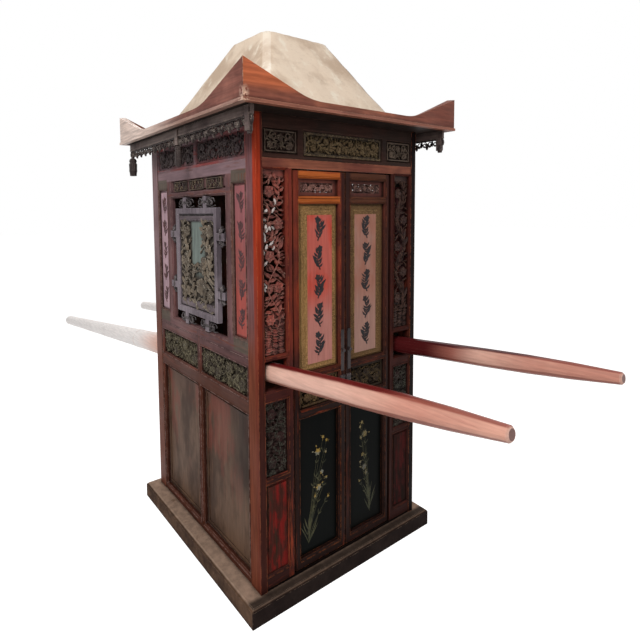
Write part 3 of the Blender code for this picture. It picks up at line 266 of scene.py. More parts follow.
def timber(name, body, patch, rubbed, along="z", rough=(0.45, 0.65), grain_scale=130.0, patch_scale=5.0,
           grain_depth=0.35, rub=0.8, rub_width=0.0016, grime_and_shade=0.75, reach=0.018, foot=None,
           foot_span=(0.75, 0.15), streaks=None, streak_span=(0.56, 0.72), patch_span=(0.40, 0.62),
           patch_stretch=(1, 1, 1), bands=(), late_bands=(), railed=None, rail_along="x", gloss=0.12,
           shade=1.0):
    """Timber, bare or under lacquer: a body colour in patches, its grain, edges worn pale by rubbing and
    lit by a painted highlight, and recesses darkened by grime and by painted shade. foot is a colour
    that comes in towards the floor, streaks one that comes in as long scuffs, and bands are colours
    laid where a function of the tree says, with their strengths, late_bands last. railed says where a
    frame's rails lie, whose grain runs along rail_along. shade darkens the body, the patches, the worn
    edges and the scuffs alike, as painted shade for the right-hand copy of a finish."""
    material = bpy.data.materials.new(name)
    material.use_nodes = True
    tree = material.node_tree
    shader = tree.nodes["Principled BSDF"]
    shader.inputs["Specular IOR Level"].default_value = gloss
    drawn_out = place_on(tree, grain_stretch(along))
    if railed:
        drawn_out = blend_colours(tree, railed(tree), drawn_out, place_on(tree, grain_stretch(rail_along)))
    grain = cloud(tree, drawn_out, grain_scale, 5.0, 0.6)
    patches = cloud(tree, place_on(tree, patch_stretch), patch_scale, 4.0, 0.6)
    tone = blend_colours(tree, spread(tree, patches, *patch_span), colour(*body, shade),
                         colour(*patch, shade))
    tone = lay_bands(tree, tone, bands)
    if foot:
        tone = blend_colours(tree, ramp(tree, "Z", *foot_span), tone, colour(*foot))
    if streaks:
        scuffs = cloud(tree, drawn_out, grain_scale / SCUFFS_TO_GRAIN, 4.0, 0.7)
        tone = blend_colours(tree, spread(tree, scuffs, *streak_span), tone, colour(*streaks, shade))
    tone = lay_bands(tree, tone, late_bands)
    shading = spread(tree, grain, 0.30, 0.72, 1 - grain_depth, 1 + grain_depth / 3)
    shading = add_node(tree, "CombineColor", {0: shading, 1: shading, 2: shading}).outputs[0]
    tone = blend_colours(tree, 1.0, tone, shading, "MULTIPLY")
    # Recesses darken with grime and painted shade.
    tone = blend_colours(tree, times(tree, hollow_grime_and_shade(tree, reach), grime_and_shade), tone, colour(*GRIME_AND_SHADE))
    # Sharp edges go pale with wear and with a painted highlight.
    broken = spread(tree, cloud(tree, place_on(tree), 60.0, 3.0), 0.38, 0.60)
    worn = times(tree, times(tree, edge_rub(tree, rub_width), broken), rub)
    tone = blend_colours(tree, worn, tone, colour(*rubbed, shade))
    tree.links.new(tone, shader.inputs["Base Color"])
    tree.links.new(spread(tree, patches, 0.3, 0.7, *rough), shader.inputs["Roughness"])
    relief = add_node(tree, "Bump", {"Strength": 0.22, "Distance": 0.0012, "Height": grain})
    tree.links.new(relief.outputs[0], shader.inputs["Normal"])
    return material


def dress(name, material):
    """Gives a frame node its finish."""
    slots = nodes[name].data.materials
    slots.clear()
    slots.append(material)
    for face in nodes[name].data.polygons:
        face.material_index = 0


# Painted shade: the plinth's front face is painted nearly black.
def plinth_front_shade(tree):
    return ramp(tree, "Y", PLINTH_FRONT + 0.006, PLINTH_FRONT + 0.001)


def plinth_top(tree):
    return ramp(tree, "Z", PLINTH_TOP - 0.005, PLINTH_TOP - 0.001)


# Painted shade on the front strip of the plinth's top, before the cabin.
def shaded_top(tree):
    return times(tree, plinth_top(tree), ramp(tree, "Y", -0.380, -0.402))


dress("plinth", timber(
    "plinth_timber", (98, 74, 58), (72, 54, 44), (168, 142, 122), "", (0.7, 0.85), grain_scale=46.0,
    grain_depth=0.28, patch_scale=9.0, rub=0.9, streaks=(120, 94, 76), gloss=0.05,
    bands=((plinth_top, (166, 139, 120), 0.92),),
    late_bands=((shaded_top, (42, 33, 29), 0.92), (plinth_front_shade, (27, 19, 18), 0.95))))
dress("floor_board", timber("floor_board", (86, 58, 44), (64, 44, 36), (120, 92, 74), "y"))


# Posts: one squared timber at each corner, up to the roof. The lacquer is dull purple-brown high on the
# sides, and dark red and tan further down. Painted warm light, with a painted orange-red highlight high
# up, lies on the near front corner, and the front faces are painted darker as shade, most of all low
# down and on the right-hand post.
POST_FRONT = -0.3912


# Painted shade on the posts' front faces.
def post_front(tree):
    return ramp(tree, "Y", POST_FRONT, POST_FRONT - 0.0006)


def warm_corner_light(tree):
    """Painted warm light on the near post's corner, with the front centimetre of its side face."""
    return times(tree, ramp(tree, "Y", -0.371, -0.378), ramp(tree, "X", 0.1, -0.1))


# A painted orange-red highlight high on the near corner.
def corner_highlight(tree):
    high = times(tree, ramp(tree, "Z", 0.62, 1.22), ramp(tree, "X", -0.341, -0.347))
    return times(tree, warm_corner_light(tree), high)


# Deeper painted shade low on the front faces.
def low_front_shade(tree):
    return times(tree, post_front(tree), ramp(tree, "Z", 1.0, 0.6))


# Painted shade, nearly black, on the right-hand post's front face.
def shaded_front(tree):
    return times(tree, post_front(tree), ramp(tree, "X", -0.1, 0.1))


def behind_middle(tree):
    return ramp(tree, "Y", 0.0, 0.3)


post_lacquer = timber("post_lacquer", (126, 92, 93), (106, 72, 68), (186, 130, 96), foot=(104, 56, 40),
                      foot_span=(1.05, 0.72), streaks=(124, 58, 44), streak_span=(0.60, 0.74),
                      bands=((behind_middle, (134, 110, 114), 0.5),))
front_post_lacquer = timber("front_post_lacquer", (124, 86, 88), (108, 70, 70), (190, 108, 70),
                            foot=(114, 60, 42), foot_span=(1.05, 0.72), streaks=(126, 58, 44),
                            streak_span=(0.60, 0.74), rub_width=0.0026, gloss=0.04,
                            late_bands=((warm_corner_light, (108, 50, 36), 0.75), (post_front, (86, 38, 31), 0.9),
                                        (low_front_shade, (54, 27, 22), 0.85), (shaded_front, (13, 7, 7), 0.96),
                                        (corner_highlight, (168, 56, 30), 0.9)))
for side, _ in SIDES:
    dress(f"post_front_{side}", front_post_lacquer)
    dress(f"post_rear_{side}", post_lacquer)


# Front wall frame: sill, head beam, jambs and rails, with sloped edges round each opening, in
# red-brown lacquer that is warm along its worn and lit edges. The right-hand frame is painted darker as
# shade, and the frieze frame's dark lacquer is painted darker as shade under the eaves.
BAY_RAILS = rails("Z", ((0.0, 0.110), (0.397, 0.422), (0.656, 0.694), (0.786, 0.803), (1.366, 1.38)), "X",
                  (0.249, 0.332))

bay_finishes = {}
# The right-hand frame's finish is a copy painted darker as shade.
for side, shade in (("left", 1.0), ("right", 0.60)):
    bay_finishes[side] = timber("bay_lacquer_" + side, (116, 47, 36), (82, 38, 34), (190, 108, 66),
                                foot=(50, 26, 23), foot_span=(0.98, 0.40), streaks=(146, 62, 40),
                                railed=BAY_RAILS, rub=0.45, rub_width=0.0024, grain_depth=0.28, gloss=0.05,
                                shade=shade)
    dress("bay_frame_" + side, bay_finishes[side])
dress("front_sill", timber("sill_lacquer", (13, 8, 7), (10, 7, 6), (52, 30, 23), "x", gloss=0.02))
dress("front_head_beam", timber("head_lacquer", (140, 80, 58), (112, 60, 48), (196, 132, 96), "x"))
# The frieze frame: dark lacquer, painted darker still as shade under the eaves.
dress("front_frieze_frame", timber("frieze_lacquer", (48, 34, 29), (60, 38, 32), (128, 92, 76), "x",
                                   gloss=0.05))


# Openwork boards: one beside each door, over the pole's hole. Each is cut right through as a climbing
# vine, with leaves heaped at its foot, from one thin board that is let into the frame's opening.
FRONT_FACE = 0.390
BAY_BOARD_FACE = FRONT_FACE - 0.017
BAY_ACROSS = (0.2498, 0.3312)
OPENWORK_UP = (0.8034, 1.3656)
OPENWORK_FOOT = 0.130
OPENWORK_HEAD = 0.024
HEAP_ROWS = 8
HEAP_ROW_RISE = 0.0095
HEAP_COLUMNS = 3
HEAP_COLUMN_PITCH = 0.026
VINES = {
    # board: seed, length of a leaf, its width for its length, lean of the leaves
    "left": (7, 0.028, 0.46, 1.0),
    "right": (11, 0.042, 0.26, 0.5),
}
# Near-white leaves on the left board: painted light, standing for daylight that shows through its openwork.
PAINTED_LIGHT_LEAVES = (
    # place across from the board's edge, place up, count
    ((0.002, 0.011), (0.985, 1.265), 13),
    ((0.026, 0.050), (1.10, 1.31), 6),
)
WALL_AXES = {
    # wall: the way across it, and the way out of its face
    "front": (Vector((1, 0, 0)), Vector((0, -1, 0))),
    "left": (Vector((0, 1, 0)), Vector((-1, 0, 0))),
    "right": (Vector((0, 1, 0)), Vector((1, 0, 0))),
}
LEAF_STATIONS = ((0.0, 0.16), (0.22, 0.72), (0.48, 1.00), (0.76, 0.62), (1.0, 0.07))
STEM_SIDES = 6
BUTTON_RINGS = ((0.34, 0.0), (0.34, 0.7), (0.20, 1.0))
SCROLL_STEPS = 16


def loft(shape, rings):
    """A closed solid through rings of points, its two ends capped."""
    made = [[shape.verts.new(point) for point in ring] for ring in rings]
    for ring, following in zip(made, made[1:]):
        for i, vert in enumerate(ring):
            j = (i + 1) % len(ring)
            shape.faces.new((vert, ring[j], following[j], following[i]))
    shape.faces.new(made[0][::-1])
    shape.faces.new(made[-1])


def plate(shape, across, up, low, high, slope=0.0):
    """A flat ground or bead from low to high, its edge sloped in by slope."""
    rings = []
    for depth, draw_in in ((low, 0.0), (high, slope)):
        left, right = across[0] + draw_in, across[1] - draw_in
        foot, head = up[0] + draw_in, up[1] - draw_in
        rings.append([(left, foot, depth), (right, foot, depth), (right, head, depth), (left, head, depth)])
    loft(shape, rings)


def surround(shape, across, up, width, low, high, slope=0.0):
    """Four bars round a field, each with its inner and outer edges sloped."""
    for across_bar, up_bar in (((across[0], across[0] + width), up), ((across[1] - width, across[1]), up),
                               ((across[0] + width, across[1] - width), (up[0], up[0] + width)),
                               ((across[0] + width, across[1] - width), (up[1] - width, up[1]))):
        plate(shape, across_bar, up_bar, low, high, slope)


def bead(shape, across, up, gap=0.0052, width=0.0030):
    """A fine raised line round an opening, just outside its sloped edge."""
    reach = gap + width
    surround(shape, (across[0] - reach, across[1] + reach), (up[0] - reach, up[1] + reach), width, -0.001,
             0.0018, 0.0008)


def stem(shape, path, radii):
    """A round stem along a path of points, with a radius for each."""
    rings = []
    for i, point in enumerate(path):
        ahead = Vector(path[min(i + 1, len(path) - 1)]) - Vector(path[max(i - 1, 0)])
        sideways = Vector((-ahead.y, ahead.x, 0)).normalized()
        rings.append([Vector(point) + radii[i] * (sideways * cos(2 * pi * k / STEM_SIDES)
                                                  + Vector((0, 0, sin(2 * pi * k / STEM_SIDES))))
                      for k in range(STEM_SIDES)])
    loft(shape, rings)


def leaf(shape, u, v, turn, length, width, low, high, bend=0.0):
    """A leaf that starts at (u, v): full along its two halves, sunk at the rib, bent to one side."""
    rings = []
    rise = high - low
    for share, wide in LEAF_STATIONS:
        heading = turn + bend * share
        centre = Vector((u + length * share * cos(turn + bend * share / 2),
                         v + length * share * sin(turn + bend * share / 2), 0))
        side = Vector((-sin(heading), cos(heading), 0)) * width / 2 * wide
        top = low + rise * (0.55 + 0.45 * sin(pi * (0.15 + 0.75 * share)))
        ring = [(1.0, low + rise * 0.35), (0.55, top), (0.0, top - rise * 0.24), (-0.55, top),
                (-1.0, low + rise * 0.35), (-0.85, low), (0.85, low)]
        rings.append([centre + side * across + Vector((0, 0, depth)) for across, depth in ring])
    loft(shape, rings)


def blossom(shape, u, v, radius, petals, low, high, turn=0.0, fullness=1.9):
    """An open flower: petals round a raised button."""
    for petal in range(petals):
        heading = turn + 2 * pi * petal / petals
        leaf(shape, u + 0.16 * radius * cos(heading), v + 0.16 * radius * sin(heading), heading,
             0.84 * radius, fullness * radius * sin(pi / petals), low, high)
    rings = []
    for reach, rise in BUTTON_RINGS:
        depth = low + rise * (high - low) * 1.15
        rings.append([(u + reach * radius * cos(2 * pi * k / 8), v + reach * radius * sin(2 * pi * k / 8),
                       depth) for k in range(8)])
    loft(shape, rings)


def scroll(shape, u, v, radius, start, turns, low, high, thickness):
    """A tendril that winds in round (u, v) from its outer end and rises to its eye."""
    path, radii = [], []
    for i in range(SCROLL_STEPS + 1):
        share = i / SCROLL_STEPS
        angle = start + share * turns * 2 * pi
        reach = radius * (1 - 0.80 * share)
        path.append((u + reach * cos(angle), v + reach * sin(angle),
                     low + (high - low) * (0.3 + 0.6 * share)))
        radii.append(thickness / 2 * (0.75 + 0.5 * share))
    stem(shape, path, radii)


def winding_foliage(shape, draw, across, up, low, high, leaf_length, leaf_width=0.42, waves=None,
                    blossoms=True, packing=0.50, stem_radius=0.0022, tries=1400, lean=1.0, swing=0.27):
    """A stem that winds along the longer way of a field, with a flower in each bend, leaves on both
    sides of it, and smaller leaves on twigs in the spaces between, packed closer for a lower packing."""
    width, length = across[1] - across[0], up[1] - up[0]
    upright = length > width
    if not upright:
        width, length = length, width
    waves = waves or max(1, round(length / (1.15 * width)))

    def at(along, aside):
        along, aside = along * length, aside * width
        return (across[0] + aside, up[0] + along) if upright else (across[0] + along, up[0] + aside)

    def inside(u, v, margin=0.0):
        return across[0] + margin < u < across[1] - margin and up[0] + margin < v < up[1] - margin

    middle = low + (high - low) * 0.45
    steps = 10 * waves
    spine = []
    for i in range(steps + 1):
        share = i / steps
        spine.append(at(share, 0.5 + swing * sin(pi * waves * share)))
    stem(shape, [(u, v, middle) for u, v in spine], [stem_radius] * len(spine))
    taken = []

    def add_leaf(u, v, turn, size, lift):
        for shrink in (1.0, 0.8, 0.6):
            reach = size * shrink
            if inside(u + reach * cos(turn), v + reach * sin(turn)):
                leaf(shape, u, v, turn, reach, reach * leaf_width, low + lift * 0.3 * (high - low),
                     low + (high - low) * (0.55 + 0.45 * lift), draw.uniform(-0.9, 0.9))
                for share in (0.3, 0.7):
                    taken.append((u + share * reach * cos(turn), v + share * reach * sin(turn), reach * 0.24))
                return True
        return False

    if blossoms:
        for k in range(waves):
            share = (k + 0.5) / waves
            side = 1 if k % 2 == 0 else -1
            u, v = at(share, 0.5 - side * 0.20)
            radius = min(0.24 * width, 0.40 * length / waves)
            blossom(shape, u, v, radius, draw.choice((5, 6)), low + 0.25 * (high - low), high,
                    draw.uniform(0, 1))
            taken.append((u, v, radius * 0.9))
            stem(shape, [(*spine[min(steps, round(share * steps))], middle), (u, v, middle)],
                 [stem_radius * 0.8] * 2)
    side = 1
    for i in range(1, steps):
        (u0, v0), (u1, v1) = spine[i - 1], spine[i + 1]
        tangent = atan2(v1 - v0, u1 - u0)
        side = -side
        turn = tangent + side * draw.uniform(0.7, 1.2) * lean
        add_leaf(*spine[i], turn, leaf_length * draw.uniform(0.8, 1.15), draw.uniform(0.3, 1.0))
    for _ in range(tries):
        u = draw.uniform(*across)
        v = draw.uniform(*up)
        size = leaf_length * draw.uniform(0.5, 0.95)
        if any(hypot(u - a, v - b) < (r + size * 0.28) * 2 * packing for a, b, r in taken):
            continue
        near = min(range(steps + 1), key=lambda i: hypot(spine[i][0] - u, spine[i][1] - v))
        root = spine[near]
        outward = atan2(v - root[1], u - root[0])
        turn = outward + draw.uniform(-0.8, 0.8) * lean
        if add_leaf(u - size * 0.5 * cos(turn), v - size * 0.5 * sin(turn), turn, size,
                    draw.uniform(0.0, 0.8)):
            start = (u - size * 0.45 * cos(turn), v - size * 0.45 * sin(turn))
            stem(shape, [(*root, middle), (*start, low + 0.35 * (high - low))], [stem_radius * 0.6] * 2)


def piece_from(name, shape, *materials):
    """Makes a worked shape a piece, with its finishes."""
    bmesh.ops.recalc_face_normals(shape, faces=shape.faces)
    mesh = bpy.data.meshes.new(name)
    shape.to_mesh(mesh)
    shape.free()
    for material in materials:
        mesh.materials.append(material)
    piece = bpy.data.objects.new(name, mesh)
    bpy.context.scene.collection.objects.link(piece)
    return piece


def carving(name, shape, wall, face, material, body="cabin", instead_of=()):
    """Sets a carving, drawn across, up and out of a wall's face, in its place on the body."""
    across, outward = WALL_AXES[wall]
    for vert in shape.verts:
        u, v, out = vert.co
        vert.co = across * u + Vector((0, 0, v)) + outward * (face + out)
    piece = piece_from(name, shape, material)
    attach(piece, body)
    if instead_of:
        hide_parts(*instead_of)


def carved(name, body, patch, rubbed, reach=0.012, grime_and_shade=0.9, **more):
    """Carved timber: grime and painted shade lie thick in its recesses, and its grain hardly shows."""
    return timber(name, body, patch, rubbed, reach=reach, grime_and_shade=grime_and_shade, grain_depth=0.2, **more)


def signed(side, span):
    """A span on the left or the right of the middle."""
    return tuple(sorted((side * span[0], side * span[1])))


openwork_finishes = {
    "left": carved("openwork_lacquer", (152, 76, 64), (104, 56, 50), (194, 142, 126), 0.016, patch_scale=9.0,
                   gloss=0.2),
    "right": carved("dark_openwork_lacquer", (60, 40, 34), (46, 29, 27), (112, 82, 68), 0.014,
                    patch_scale=9.0),
}
# Painted light: a near-white finish for that daylight.
painted_light_finish = carved("openwork_painted_light", (226, 216, 211), (176, 156, 150), (238, 232, 228), 0.006,
                            0.5, patch_scale=60.0)
for side, sign in SIDES:
    across = signed(sign, BAY_ACROSS)
    seed, leaf_length, leaf_width, lean = VINES[side]
    vine = bmesh.new()
    draw = Random(17 + sign)
    plate(vine, across, (OPENWORK_UP[0], OPENWORK_UP[0] + OPENWORK_FOOT), 0.0, 0.003)
    plate(vine, across, (OPENWORK_UP[1] - OPENWORK_HEAD, OPENWORK_UP[1]), 0.0, 0.005)
    for row in range(HEAP_ROWS):
        for column in range(HEAP_COLUMNS):
            leaf(vine, across[0] + (column + draw.uniform(0.0, 0.25)) * HEAP_COLUMN_PITCH,
                 OPENWORK_UP[0] + 0.006 + row * HEAP_ROW_RISE, draw.uniform(-0.35, 0.35),
                 draw.uniform(0.022, 0.030), draw.uniform(0.012, 0.017), 0.002, 0.0075 + 0.0008 * row,
                 draw.uniform(-0.8, 0.8))
    winding_foliage(vine, Random(seed), across, (OPENWORK_UP[0] + 0.060, OPENWORK_UP[1] - 0.016), 0.001,
                    0.013, leaf_length, leaf_width, waves=5, lean=lean)
    carving("openwork_vine_" + side, vine, "front", BAY_BOARD_FACE, openwork_finishes[side],
            instead_of=("bay_openwork_" + side,))

    # The left board also carries near-white leaves, painted light for the daylight that shows through it.
    if side == "left":
        bare = bmesh.new()
        for (near, far), (low, high), count in PAINTED_LIGHT_LEAVES:
            for _ in range(count):
                leaf(bare, across[0] + draw.uniform(near, far), draw.uniform(low, high),
                     draw.uniform(0.6, 2.4), draw.uniform(0.012, 0.020), draw.uniform(0.005, 0.008), 0.005,
                     0.0138, draw.uniform(-0.8, 0.8))
        carving("openwork_painted_light_leaves", bare, "front", BAY_BOARD_FACE, painted_light_finish)


# Lower carvings: a board of dense foliage in a raised rim under each pole's hole, let in as the
# openwork is, in nearly black lacquer with a little grey-green on its high edges, part worn paint and
# part painted highlight.
LOWER_CARVING_UP = (0.4224, 0.6556)

lower_carving_finish = carved("lower_carving_lacquer", (37, 34, 32), (50, 31, 30), (108, 108, 96), rub=0.75,
                              gloss=0.05)
for side, sign in SIDES:
    across = signed(sign, BAY_ACROSS)
    foliage = bmesh.new()
    surround(foliage, across, LOWER_CARVING_UP, 0.008, 0.0, 0.007, 0.002)
    winding_foliage(foliage, Random(21 + sign), across, LOWER_CARVING_UP, 0.0, 0.012, 0.022, 0.5, waves=3,
                    packing=0.42, tries=2400)
    carving("bay_foliage_" + side, foliage, "front", BAY_BOARD_FACE, lower_carving_finish,
            instead_of=("bay_carving_" + side,))


# Red boards: one at the foot of the wall beside each door, in red lacquer that has gone dark in long
# patches, with flat sprigs. A fine bead runs round its opening and round the two openings over it.
RED_BOARD_UP = (0.118, 0.389)
RED_BOARD_ACROSS = (0.260, 0.321)
RED_OPENING_UP = (0.110, 0.397)
RED_BOARD_FACE = FRONT_FACE - 0.010

red_sprig_finish = timber("red_board_sprigs", (50, 42, 34), (98, 36, 32), (112, 66, 50), patch_scale=12.0,
                          reach=0.004)
# The right-hand board's finish is a copy painted darker as shade.
for (side, sign), shade in zip(SIDES, (1.0, 0.52)):
    dress("bay_red_panel_" + side, timber(
        "red_board_" + side, (122, 32, 28), (70, 36, 30), (150, 80, 62), patch_scale=46.0,
        patch_span=(0.40, 0.58), patch_stretch=(1, 1, 0.3), rough=(0.5, 0.7), grain_depth=0.30,
        streaks=(50, 42, 32), streak_span=(0.50, 0.66), gloss=0.03, shade=shade))
    sprigs = bmesh.new()
    winding_foliage(sprigs, Random(31 + sign), signed(sign, RED_BOARD_ACROSS), RED_BOARD_UP, -0.0002, 0.0016,
                    0.020, 0.40, waves=4, packing=0.95, stem_radius=0.0012, tries=160)
    carving("red_board_sprigs_" + side, sprigs, "front", RED_BOARD_FACE, red_sprig_finish)
    beads = bmesh.new()
    for up in (OPENWORK_UP, LOWER_CARVING_UP, RED_OPENING_UP):
        bead(beads, signed(sign, BAY_ACROSS), up)
    carving("bay_beads_" + side, beads, "front", FRONT_FACE, bay_finishes[side])


# Front frieze: over the head beam, a square of scrollwork at each end, and at the centre a relief of
# foliage in a border of small leaves, gilded once. Each is carved from a board and let into the frame.
FRIEZE_BOARD_FACE = FRONT_FACE - 0.0077
FRIEZE_END_ACROSS = (0.2060, 0.3270)
FRIEZE_END_UP = (1.4180, 1.4840)
FRIEZE_CENTRE_ACROSS = 0.1757
FRIEZE_UP = (1.4133, 1.4887)
FRIEZE_BORDER = 0.011
BORDER_LEAVES = 44

frieze_scroll_finish = carved("frieze_scrolls", (98, 82, 70), (70, 56, 48), (150, 132, 112), 0.010, 0.85)
for side, sign in SIDES:
    squares = bmesh.new()
    across = signed(sign, FRIEZE_END_ACROSS)
    surround(squares, across, FRIEZE_END_UP, 0.006, 0.0, 0.0065, 0.0015)
    middle_u, middle_v = sum(across) / 2, sum(FRIEZE_END_UP) / 2
    for column in (-1, 1):
        for row in (-1, 1):
            scroll(squares, middle_u + column * 0.0275, middle_v + row * 0.0145, 0.0135,
                   pi / 4 * (1 - 2 * row * column), 1.25 * column * row, 0.0, 0.0085, 0.0056)
    winding_foliage(squares, Random(41 + sign), (across[0] + 0.005, across[1] - 0.005),
                    (FRIEZE_END_UP[0] + 0.005, FRIEZE_END_UP[1] - 0.005), 0.0, 0.0070, 0.015, 0.36, waves=3,
                    packing=0.85, tries=260)
    carving("frieze_scrolls_" + side, squares, "front", FRIEZE_BOARD_FACE, frieze_scroll_finish)

relief = bmesh.new()
across = (-FRIEZE_CENTRE_ACROSS, FRIEZE_CENTRE_ACROSS)
plate(relief, across, FRIEZE_UP, -0.0165, -0.011)
surround(relief, across, FRIEZE_UP, 0.010, -0.0115, -0.0040, 0.0015)
for height in (FRIEZE_UP[0] + 0.005, FRIEZE_UP[1] - 0.005):
    for i in range(BORDER_LEAVES):
        u = across[0] + (i + 0.5) * 2 * FRIEZE_CENTRE_ACROSS / BORDER_LEAVES
        leaf(relief, u - 0.003, height, 0.6 if i % 2 else -0.6, 0.006, 0.0034, -0.0045, -0.0025)
winding_foliage(relief, Random(5), (across[0] + FRIEZE_BORDER, across[1] - FRIEZE_BORDER),
                (FRIEZE_UP[0] + FRIEZE_BORDER, FRIEZE_UP[1] - FRIEZE_BORDER), -0.0115, -0.0010, 0.023, 0.5,
                waves=6, packing=0.46, tries=1600)


def inside_border(tree):
    return field_between(tree, "X", (-0.01, 0.1655), (1.4238, 1.4782), 0.001)


# A painted highlight along the foot of the relief's border.
def border_foot_highlight(tree):
    return band(tree, "Z", 1.412, 1.4185, 0.0008)


carving("frieze_relief", relief, "front", FRONT_FACE, carved(
    "frieze_relief", (64, 50, 38), (50, 40, 32), (160, 138, 102), grime_and_shade=0.95, patch_scale=14.0, rub=0.9,
    bands=((inside_border, (112, 92, 66), 0.95), (border_foot_highlight, (112, 94, 70), 0.6))),
    instead_of=("front_frieze_centre",))


# Door leaves: stiles and rails in red-brown lacquer, with sloped edges and a fine bead round each of
# their four openings. The outer stile is round, and pivots in the sill and the head beam.
DOOR_FACE = 0.389
DOOR_OPENING_ACROSS = (0.0290, 0.1960)
LACQUER_UP = (0.1015, 0.5705)
WAIST_UP = (0.6045, 0.6975)
TALL_OPENING_UP = (0.722, 1.264)
HEAD_OPENING_UP = (1.2895, 1.3425)
MEETING_STILE = 0.0172
DOOR_RAILS = rails("Z", ((0.0, 0.101), (0.571, 0.604), (0.698, 0.722), (1.264, 1.289), (1.343, 1.40)), "X",
                   (0.0285, 0.1965))
DOOR_COLOURS = {
    # leaf: body, patches, worn and lit edges, scuffs, head rails; the right leaf's are painted darker as
    # shade
    "left": ((118, 49, 34), (82, 39, 33), (190, 108, 60), (148, 62, 38), (182, 96, 44)),
    "right": ((68, 35, 28), (52, 30, 26), (150, 84, 52), (88, 42, 32), (86, 52, 38)),
}


def head_rails(tree):
    both = calculate(tree, "MAXIMUM", band(tree, "Z", 1.2655, 1.2880, 0.0012),
                     band(tree, "Z", 1.3440, 1.3665, 0.0012))
    return times(tree, both, band(tree, "X", 0.0235, 0.2010, 0.0015, mirrored=True))


def meeting_stile(tree):
    return band(tree, "X", -0.01, MEETING_STILE, 0.0012, mirrored=True)


for side, sign in SIDES:
    body, patch, rubbed, scuffs, head = DOOR_COLOURS[side]
    door_finish = timber("door_lacquer_" + side, body, patch, rubbed, foot=(36, 21, 18),
                         foot_span=(0.98, 0.58), streaks=scuffs, railed=DOOR_RAILS, rub=0.45,
                         rub_width=0.0024, grain_depth=0.28, gloss=0.05,
                         bands=((meeting_stile, (45, 27, 24), 0.85), (head_rails, head, 0.95)))
    dress("door_leaf_" + side, door_finish)
    beads = bmesh.new()
    for up in (LACQUER_UP, WAIST_UP, TALL_OPENING_UP, HEAD_OPENING_UP):
        bead(beads, signed(sign, DOOR_OPENING_ACROSS), up)
    carving("door_beads_" + side, beads, "front", DOOR_FACE, door_finish, "door_" + side)


# Lower door panels: black lacquer on a board let into each leaf from behind, where the bare board is
# brown. A spray of flowers is painted on it, rising on thin stalks from a tuft of blades.
DOOR_BOARD_FACE = 0.3739
DOOR_MIDDLE = 0.1096
PAINT = (-0.0002, 0.0006)
STALK_STEPS = 8
FLOWER_HEADS = (
    # place aside of the spray's line, height over its root, radius
    (-0.004, 0.300, 0.0135), (0.000, 0.175, 0.0125), (0.014, 0.225, 0.0085), (0.020, 0.345, 0.0065),
    (0.036, 0.330, 0.0060), (0.032, 0.290, 0.0050), (-0.016, 0.150, 0.0060), (0.034, 0.200, 0.0055),
    (0.042, 0.130, 0.0050),
)
FLOWER_COLOURS = {
    # leaf: yellow petals, white petals, stalks, and the way the spray leans; the right leaf's colours are
    # painted darker as shade
    "left": ((158, 128, 58), (120, 120, 110), (76, 74, 50), 1),
    "right": ((104, 90, 56), (92, 92, 88), (58, 58, 44), -0.6),
}


def board_back(tree):
    return ramp(tree, "Y", -0.3705, -0.3685)


door_draws = {side: Random(71 + sign) for side, sign in SIDES}
for side, sign in SIDES:
    dress("door_lower_panel_" + side, timber(
        "black_lacquer_" + side, (11, 13, 12), (14, 14, 13), (60, 52, 46), grain_depth=0.12,
        rough=(0.28, 0.40), grime_and_shade=0.5, streaks=(21, 19, 17), streak_span=(0.62, 0.8), gloss=0.02,
        late_bands=((board_back, (74, 46, 36), 1.0),)))
    yellow, white, green, lean = FLOWER_COLOURS[side]
    draw = door_draws[side]
    flowers, stalks = bmesh.new(), bmesh.new()
    root = (sign * DOOR_MIDDLE - lean * 0.045, LACQUER_UP[0] + 0.035)
    for aside, height, radius in FLOWER_HEADS:
        u, v = root[0] + lean * (aside + 0.045), root[1] + height
        path = []
        for i in range(STALK_STEPS + 1):
            share = i / STALK_STEPS
            path.append((root[0] + (u - root[0]) * share ** 1.5, root[1] + (v - root[1]) * share, 0.0001))
        stem(stalks, path, [0.0008 - 0.0004 * i / STALK_STEPS for i in range(STALK_STEPS + 1)])
        blossom(flowers, u, v, radius, 6 if radius > 0.01 else 5, -0.0002, 0.0009, draw.uniform(0, 1), 1.25)
        for _ in range(2):
            turn = draw.uniform(0, 2 * pi)
            leaf(flowers, u + radius * 1.3 * cos(turn), v + radius * 1.3 * sin(turn), turn, radius * 0.7,
                 radius * 0.36, -0.0002, 0.0007)
        for i in (5, 7):
            turn = atan2(path[i + 1][1] - path[i - 1][1], path[i + 1][0] - path[i - 1][0])
            for way in (-1, 1):
                leaf(stalks, *path[i][:2], turn + way * draw.uniform(0.6, 1.2), draw.uniform(0.010, 0.020),
                     draw.uniform(0.0024, 0.0042), *PAINT, -0.5 * way)
    for _ in range(11):
        leaf(stalks, root[0] + draw.uniform(-0.006, 0.006), root[1] + draw.uniform(-0.01, 0.05),
             pi / 2 - lean * draw.uniform(-0.75, 1.05), draw.uniform(0.045, 0.085),
             draw.uniform(0.0035, 0.0055), *PAINT, draw.uniform(-0.5, 0.5))
    carving("lacquer_flowers_" + side, flowers, "front", DOOR_BOARD_FACE, timber(
        "lacquer_flowers_" + side, yellow, white, (170, 150, 100), reach=0.002, grime_and_shade=0.3, grain_depth=0.3,
        patch_scale=34.0, patch_span=(0.47, 0.53)), "door_" + side)
    carving("lacquer_stalks_" + side, stalks, "front", DOOR_BOARD_FACE, timber(
        "lacquer_stalks_" + side, green, (44, 48, 38), (96, 92, 66), reach=0.002, grime_and_shade=0.3, grain_depth=0.3,
        patch_scale=30.0), "door_" + side)


